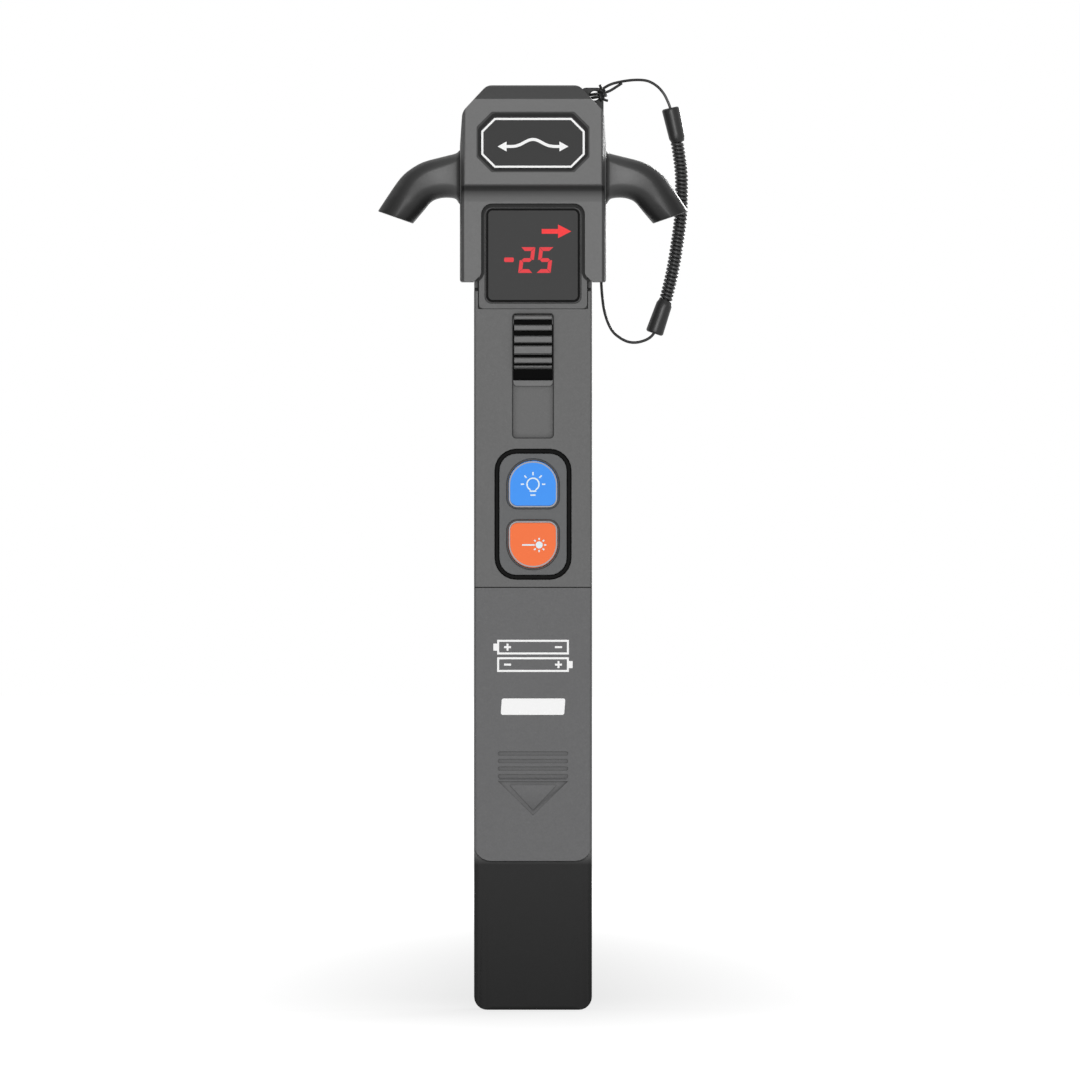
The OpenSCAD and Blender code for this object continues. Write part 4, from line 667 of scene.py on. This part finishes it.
# head plate: painted shade round it in its recess, dark next to the plate and softer further out, the thin
# white eight-sided line, and a fibre with light running both ways
plateShadeRings = {"reach": 0.95, "lip": 0.3, "cut": 3.2, "holeCut": 0.6, "round": 1.2, "under": 0.1, "lift": 0.06,
            "rimLift": 0.03}
platePrint = {"halfWidth": 10.95, "low": 178.45, "high": 189, "cut": 2.8, "line": 0.43, "fibreMid": 183.7,
              "fibreHalf": 5.6, "rise": 1.5, "stroke": 0.62, "head": 1.9, "headBack": 0.55, "steps": 48}
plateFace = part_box("name_plate")[0].y / mm
plateLow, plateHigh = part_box("name_plate")[0] / mm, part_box("name_plate")[1] / mm
for name, reach, lift, finish in (
        ("plate_shade_dark", plateShadeRings["reach"] - plateShadeRings["lip"], plateShadeRings["lift"], "recess"),
        ("plate_shade_soft", plateShadeRings["reach"], plateShadeRings["rimLift"], "paintedRecessRimShade")):
    outside = octagon(plateHigh.x + reach, plateLow.z - reach, plateHigh.z + reach, plateShadeRings["cut"])
    under = plateShadeRings["under"]
    hole = octagon(plateHigh.x - under, plateLow.z + under, plateHigh.z - under,
                   plateShadeRings["cut"] - plateShadeRings["reach"] * plateShadeRings["holeCut"])
    edges = [softCorners(outside, plateShadeRings["round"]), hole]
    printedShape(name, edges, plateHigh.y, finish, "handle", lift)


def plateOutline(values, inset):
    low, high = values["low"] + inset, values["high"] - inset
    return octagon(values["halfWidth"] - inset, low, high, values["cut"] - inset * (2 - math.sqrt(2)))


printedShape("plate_outline", [plateOutline(platePrint, 0), plateOutline(platePrint, platePrint["line"])],
             plateFace, "print", "handle")


# a fibre bent over in its middle, with an arrowhead at each end
def fibreSign(values):
    half, mid, head, rise = values["fibreHalf"], values["fibreMid"], values["head"], values["rise"]
    steps, stroke = values["steps"], values["stroke"] / 2
    low, back = mid - rise / 2, head * values["headBack"]
    line = [(half * (2 * i / steps - 1), low + rise * math.sin(math.pi * i / steps) ** 4)
            for i in range(steps + 1)]
    right = [(half, low + stroke), (half, low + back), (half + head, low), (half, low - back),
             (half, low - stroke)]
    left = [(-x, z) for x, z in right[::-1]]
    body = ribbon(line, values["stroke"])
    # the upper edge runs left to right, then the right head, the lower edge and the left head
    return [body[1:steps] + right + body[steps + 2:2 * steps + 1] + left]


printedShape("plate_sign", fibreSign(platePrint), plateFace, "print", "handle")

# window: a painted shade band round the display's opening, where the bezel lies in shadow; the foot's points
# are shares of the flare's width
windowShade = {"half": 10.98, "top": 170.88, "radius": 2.3, "bottom": 154.4, "width": 0.66, "depth": 0.07,
        "flare": 1.2, "foot": [(1, 0), (0.35, 0.6), (0, 1.4)], "steps": 8}


def archOutline(values, inset):
    half, top, radius = values["half"] - inset, values["top"] - inset, values["radius"] - inset
    flare, bottom, steps = values["flare"], values["bottom"], values["steps"]
    foot = [(half + flare * x, bottom + flare * z) for x, z in values["foot"]]
    return (foot + arc((half - radius, top - radius), radius, 0, 90, steps)
            + arc((radius - half, top - radius), radius, 90, 180, steps) + [(-x, z) for x, z in foot[::-1]])


printedShape("window_shade_band", [archOutline(windowShade, 0) + archOutline(windowShade, windowShade["width"])[::-1]],
             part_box("display_bezel")[0].y / mm, "recess", "handle", windowShade["depth"])

# slide track: a thin painted shade line along its edge, where the gap lies in shadow
track = {"half": 4.35, "low": 121.2, "high": 147.6, "corner": 0.75, "line": 0.2, "outside": 0.1,
         "depth": 0.03}
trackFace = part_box("housing_front")[0].y / mm


def trackOutline(values, inset):
    a, low, high = values["half"] - inset, values["low"] + inset, values["high"] - inset
    return softCorners([(a, low), (a, high), (-a, high), (-a, low)], values["corner"] - inset)


trackEdges = [trackOutline(track, -track["outside"]), trackOutline(track, track["line"] - track["outside"])]
printedShape("track_line", trackEdges, trackFace, "gapShade", "handle", track["depth"])

# thumb slider: painted shadow in the gaps on both sides of its ribs
ribGapShadows = {"from": 3.98, "to": 4.22, "low": 133.45, "high": 145.3, "face": -10.18, "depth": 0.06}
gapCorners = [(ribGapShadows[x], ribGapShadows[z])
              for x, z in (("from", "low"), ("to", "low"), ("to", "high"), ("from", "high"))]
printedShape("rib_gap_shadows", [gapCorners, [(-x, z) for x, z in gapCorners[::-1]]], ribGapShadows["face"], "rubberAndGapShade",
             "thumb_slide", ribGapShadows["depth"], 0)

# lens: a painted shadow line in the gap round its edge
lensShadowLine = {"width": 0.46, "inset": -0.08, "corner": 1.35, "depth": 0.1}
lensLow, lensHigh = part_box("display_lens")[0] / mm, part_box("display_lens")[1] / mm


def boxOutline(low, high, inset, corner):
    left, right, foot, top = low.x + inset, high.x - inset, low.z + inset, high.z - inset
    return softCorners([(right, foot), (right, top), (left, top), (left, foot)], corner)


lensShadowEdges = [boxOutline(lensLow, lensHigh, lensShadowLine["inset"] + inward, lensShadowLine["corner"] - inward)
             for inward in (0, lensShadowLine["width"])]
printedShape("lens_edge_shadow", lensShadowEdges, lensLow.y, "rubberAndGapShade", "handle", lensShadowLine["depth"])

# display: arrow, minus sign and two slanted digits of seven segments
display = {
    "arrow": [(1.85, 164.5), (5.3, 164.5), (5.3, 163.55), (8.1, 165), (5.3, 166.45), (5.3, 165.5),
              (1.85, 165.5)],
    "minus": [(-6.12, 158.5), (-4.07, 158.5), (-4.07, 159.46), (-6.12, 159.46)], "minusRound": 0.3,
    "bottom": 156.2, "height": 5.45, "width": 3, "stroke": 0.8, "slant": 0.12, "gap": 0.05,
    "digits": {-3.15: "2", 0.72: "5"}, "segments": {"2": "abged", "5": "afgcd"},
}
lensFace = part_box("display_lens")[0].y / mm


# the bottom, middle and lower right segments, turned over for the others
def segmentOutline(name, values):
    w, h, s, g = values["width"], values["height"], values["stroke"], values["gap"]
    half = h / 2
    if name in "ad":
        points = [(g, 0), (w - g, 0), (w - s - g, s), (s + g, s)]
    elif name == "g":
        points = [(s / 2 + g, half), (s + g, half - s / 2), (w - s - g, half - s / 2), (w - s / 2 - g, half),
                  (w - s - g, half + s / 2), (s + g, half + s / 2)]
    else:
        points = [(w, g), (w, half - g), (w - s / 2, half - g), (w - s, half - s / 2 - g), (w - s, s + g)]
    return [(w - x if name in "ef" else x, h - z if name in "abf" else z) for x, z in points]


segments = [softCorners(display["minus"], display["minusRound"])]
for left, digit in display["digits"].items():
    for segment in display["segments"][digit]:
        segments.append([(left + x + display["slant"] * z, display["bottom"] + z)
                         for x, z in segmentOutline(segment, display)])
printedShape("display_arrow", [display["arrow"]], lensFace, "litArrow", "handle")
printedShape("display_digits", segments, lensFace, "lit", "handle")


def rayBars(values, angles):
    bars, middle = [], Vector(values["centre"])
    for a in angles:
        way = Vector((math.cos(math.radians(a)), math.sin(math.radians(a))))
        bars.append(bar(middle + way * values["rayFrom"], middle + way * values["rayTo"], values["line"]))
    return bars


# torch key: a plain lamp sign with five rays; the gaps are the half angles of the bulb's open foot
lamp = {"centre": (0, 111.42), "radius": 1.28, "line": 0.3, "neck": 0.55, "neckDrop": 0.34, "foot": 0.55,
        "footDrop": 0.84, "outerGap": 62, "innerGap": 58, "steps": 28, "rays": 5, "rayFrom": 1.9,
        "rayTo": 2.6}
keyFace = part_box("torch_button")[0].y / mm


def lampOutlines(values):
    centre, r, w, neck, steps = (values[key] for key in ("centre", "radius", "line", "neck", "steps"))
    outerGap, innerGap, bottom = values["outerGap"], values["innerGap"], centre[1] - r - values["neckDrop"]
    outer = arc(centre, r + w / 2, -outerGap, 180 + outerGap, steps)
    outer += [(-neck - w / 2, bottom), (neck + w / 2, bottom)]
    hollow = arc(centre, r - w / 2, -innerGap, 180 + innerGap, steps)
    hollow += [(-neck + w / 2, bottom + w), (neck - w / 2, bottom + w)]
    foot = bottom - values["footDrop"] + w / 2
    rays = rayBars(values, [180 * i / (values["rays"] - 1) for i in range(values["rays"])])
    return [outer, hollow, bar((-values["foot"], foot), (values["foot"], foot), w), *rays]


printedShape("torch_sign", lampOutlines(lamp), keyFace, "keyPrint", "torch_key")

# painted highlight: pale rims on the edges of both keys, where their edges catch the light
keyEdgeHighlight = {"half": 5.13, "high": 9.74, "mid": 105.05, "step": 6.35, "foot": 1.85, "top": 5, "line": 0.28,
          "steps": 14, "depth": 0.26, "sink": 0.24}


def keyOutline(values, up, inset):
    a, h = values["half"] - inset, values["high"] / 2 - inset
    foot, top = values["foot"] - inset, values["top"] - inset
    outline = softCorners([(-a, -h), (a, -h), (a, h), (-a, h)], [foot, foot, top, top], values["steps"])
    return [(x, values["mid"] + up * (values["step"] + z)) for x, z in outline][::up]


for name, up, body in (("torch_edge_highlight", 1, "torch_key"), ("laser_edge_highlight", -1, "laser_key")):
    edges = [keyOutline(keyEdgeHighlight, up, 0), keyOutline(keyEdgeHighlight, up, keyEdgeHighlight["line"])]
    printedShape(name, edges, keyFace, "rim", body, keyEdgeHighlight["depth"], keyEdgeHighlight["sink"])

# laser key: a spot of light with rays and a straight beam, which comes in where the fifth ray would be
beam = {"centre": (1.3, 98.55), "radius": 0.75, "line": 0.32, "from": -2.3, "to": 0.35, "rayFrom": 1.05,
        "rayTo": 1.5, "rays": 8, "beamAt": 4, "dotEnd": 345, "dotSteps": 23}
beamHeight = beam["centre"][1]
beamAngles = [360 / beam["rays"] * i for i in range(beam["rays"]) if i != beam["beamAt"]]
beamShapes = [arc(beam["centre"], beam["radius"], 0, beam["dotEnd"], beam["dotSteps"]),
              bar((beam["from"], beamHeight), (beam["to"], beamHeight), beam["line"]),
              *rayBars(beam, beamAngles)]
printedShape("laser_sign", beamShapes, keyFace, "keyPrint", "laser_key")

# door: two plain cells with their poles, and a bare white label with slanted ends
label = {"halfWidth": 6.85, "low": 62.55, "high": 66.02, "slant": 0.25, "corner": 0.4}
cellSign = {"half": 7.6, "pip": 0.8, "pipHalf": 0.75, "high": 3.1, "line": 0.42, "rows": (73.2, 76.9),
            "mark": 0.75, "markAt": 5.4}
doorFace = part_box("battery_door")[0].y / mm
printedShape("door_label", [softCorners([
    (label["halfWidth"] - label["slant"], label["low"]), (label["halfWidth"], label["high"]),
    (label["slant"] - label["halfWidth"], label["high"]), (-label["halfWidth"], label["low"])],
    label["corner"])], doorFace, "print", "door")


# each cell is a case with a pip, its hollow, a plus and a minus
def cellOutlines(values):
    shapes = []
    line, half = values["line"], values["half"]
    for way, mid in zip((1, -1), values["rows"]):
        low, high = mid - values["high"] / 2, mid + values["high"] / 2
        pip, pipHalf = half + values["pip"], values["pipHalf"]
        case = [(-half, low), (half, low), (half, mid - pipHalf), (pip, mid - pipHalf), (pip, mid + pipHalf),
                (half, mid + pipHalf), (half, high), (-half, high)]
        shapes.append([(way * x, z) for x, z in case][::way])
        shapes.append([(-half + line, low + line), (half - line, low + line), (half - line, high - line),
                       (-half + line, high - line)])
        plus, minus, mark, h = way * values["markAt"], -way * values["markAt"], values["mark"], line / 2
        shapes.append([(plus + x, mid + z) for x, z in (
            (-mark, -h), (-h, -h), (-h, -mark), (h, -mark), (h, -h), (mark, -h), (mark, h), (h, h), (h, mark),
            (-h, mark), (-h, h), (-mark, h))])
        shapes.append(bar((minus - mark, mid), (minus + mark, mid), line))
    return shapes


printedShape("door_sign", cellOutlines(cellSign), doorFace, "print", "door")
print("prints and signs made")


# shows one shader to the camera and in reflections, and the plain one to light that bounces
def mixSeen(tree, plain, seen):
    path = tree.nodes.new("ShaderNodeLightPath")
    rays = path.outputs["Is Camera Ray"]
    for other in ("Is Glossy Ray", "Is Transmission Ray"):
        rays = reckon(tree, "MAXIMUM", rays, path.outputs[other])
    choose = tree.nodes.new("ShaderNodeMixShader")
    tree.links.new(rays, choose.inputs["Fac"])
    tree.links.new(plain, choose.inputs[1])
    tree.links.new(seen, choose.inputs[2])
    return choose.outputs["Shader"]


# floor: pale, keeps the shadow, and shows white; a faint painted shadow lies under and behind the tool, with
# its places in metres along X and Y, each from where it starts to where it is full
floorLook = {"size": 12, "plain": (0.2, 0.2, 0.2, 1), "seen": (0.95, 0.95, 0.95, 1), "glow": 0.7,
             "white": 1.5, "shade": 0.49, "width": (0.1, 0.008), "front": (-0.6, 0.2), "back": (3.4, 0.2)}


def softShade(tree, values):
    parts = axes(tree, tree.nodes.new("ShaderNodeTexCoord").outputs["Object"])
    total = remap(tree, reckon(tree, "ABSOLUTE", parts["X"]), *values["width"])
    for side in ("front", "back"):
        total = reckon(tree, "MULTIPLY", total, remap(tree, parts["Y"], *values[side], curve="SMOOTHSTEP"))
    return reckon(tree, "MULTIPLY_ADD", total, -values["shade"], values["white"])


def floorMaterial(values):
    material = bpy.data.materials.new("paleFloor")
    material.use_nodes = True
    tree = material.node_tree
    tree.nodes.clear()
    plain, seen = (tree.nodes.new("ShaderNodeBsdfDiffuse") for _ in range(2))
    plain.inputs["Color"].default_value, seen.inputs["Color"].default_value = values["plain"], values["seen"]
    white = tree.nodes.new("ShaderNodeEmission")
    tree.links.new(softShade(tree, values), white.inputs["Strength"])
    blendIn = tree.nodes.new("ShaderNodeMixShader")
    blendIn.inputs["Fac"].default_value = values["glow"]
    tree.links.new(seen.outputs["BSDF"], blendIn.inputs[1])
    tree.links.new(white.outputs["Emission"], blendIn.inputs[2])
    output = tree.nodes.new("ShaderNodeOutputMaterial")
    chosen = mixSeen(tree, plain.outputs["BSDF"], blendIn.outputs["Shader"])
    tree.links.new(chosen, output.inputs["Surface"])
    return material


bm = bmesh.new()
bmesh.ops.create_grid(bm, x_segments=2, y_segments=2, size=floorLook["size"])
floorMesh = bpy.data.meshes.new("floor")
bm.to_mesh(floorMesh)
bm.free()
floorMesh.materials.append(floorMaterial(floorLook))
floor = link(bpy.data.objects.new("floor", floorMesh))

# studio light: a broad lamp in front, one behind for the back, two side strips for the rims, and a dim room
studio = {
    "front": {"size": (0.8, 0.6), "place": (0.05, -2.6, 0.3), "watts": 56},
    "left": {"size": (0.25, 1.2), "place": (-1.5, 0.5, 0.5), "watts": 2},
    "right": {"size": (0.25, 1.2), "place": (1.5, 0.5, 0.5), "watts": 3},
    "back": {"size": (0.8, 0.6), "place": (0.7, 2.3, 0.5), "watts": 32},
}
room = {"aim": (0, 0, 0.1), "strength": 0.1, "white": (1, 1, 1, 1)}
for name, values in studio.items():
    lampData = bpy.data.lights.new(name + "Lamp", "AREA")
    lampData.shape = "RECTANGLE"
    lampData.size, lampData.size_y = values["size"]
    lampData.energy = values["watts"]
    holder = link(bpy.data.objects.new(name + "Lamp", lampData))
    holder.location = values["place"]
    holder.visible_camera = False
    way = Vector(room["aim"]) - Vector(values["place"])
    holder.rotation_euler = way.to_track_quat("-Z", "Y").to_euler()

world = bpy.data.worlds.new("studioRoom")
world.use_nodes = True
bpy.context.scene.world = world
roomTree = world.node_tree
dim = roomTree.nodes["Background"]
bright = roomTree.nodes.new("ShaderNodeBackground")
for backdrop, strength in ((dim, room["strength"]), (bright, 1)):
    backdrop.inputs["Color"].default_value = room["white"]
    backdrop.inputs["Strength"].default_value = strength
backdrops = mixSeen(roomTree, dim.outputs["Background"], bright.outputs["Background"])
roomTree.links.new(backdrops, roomTree.nodes["World Output"].inputs["Surface"])
bpy.context.scene.view_settings.view_transform = "Standard"
print("studio set")
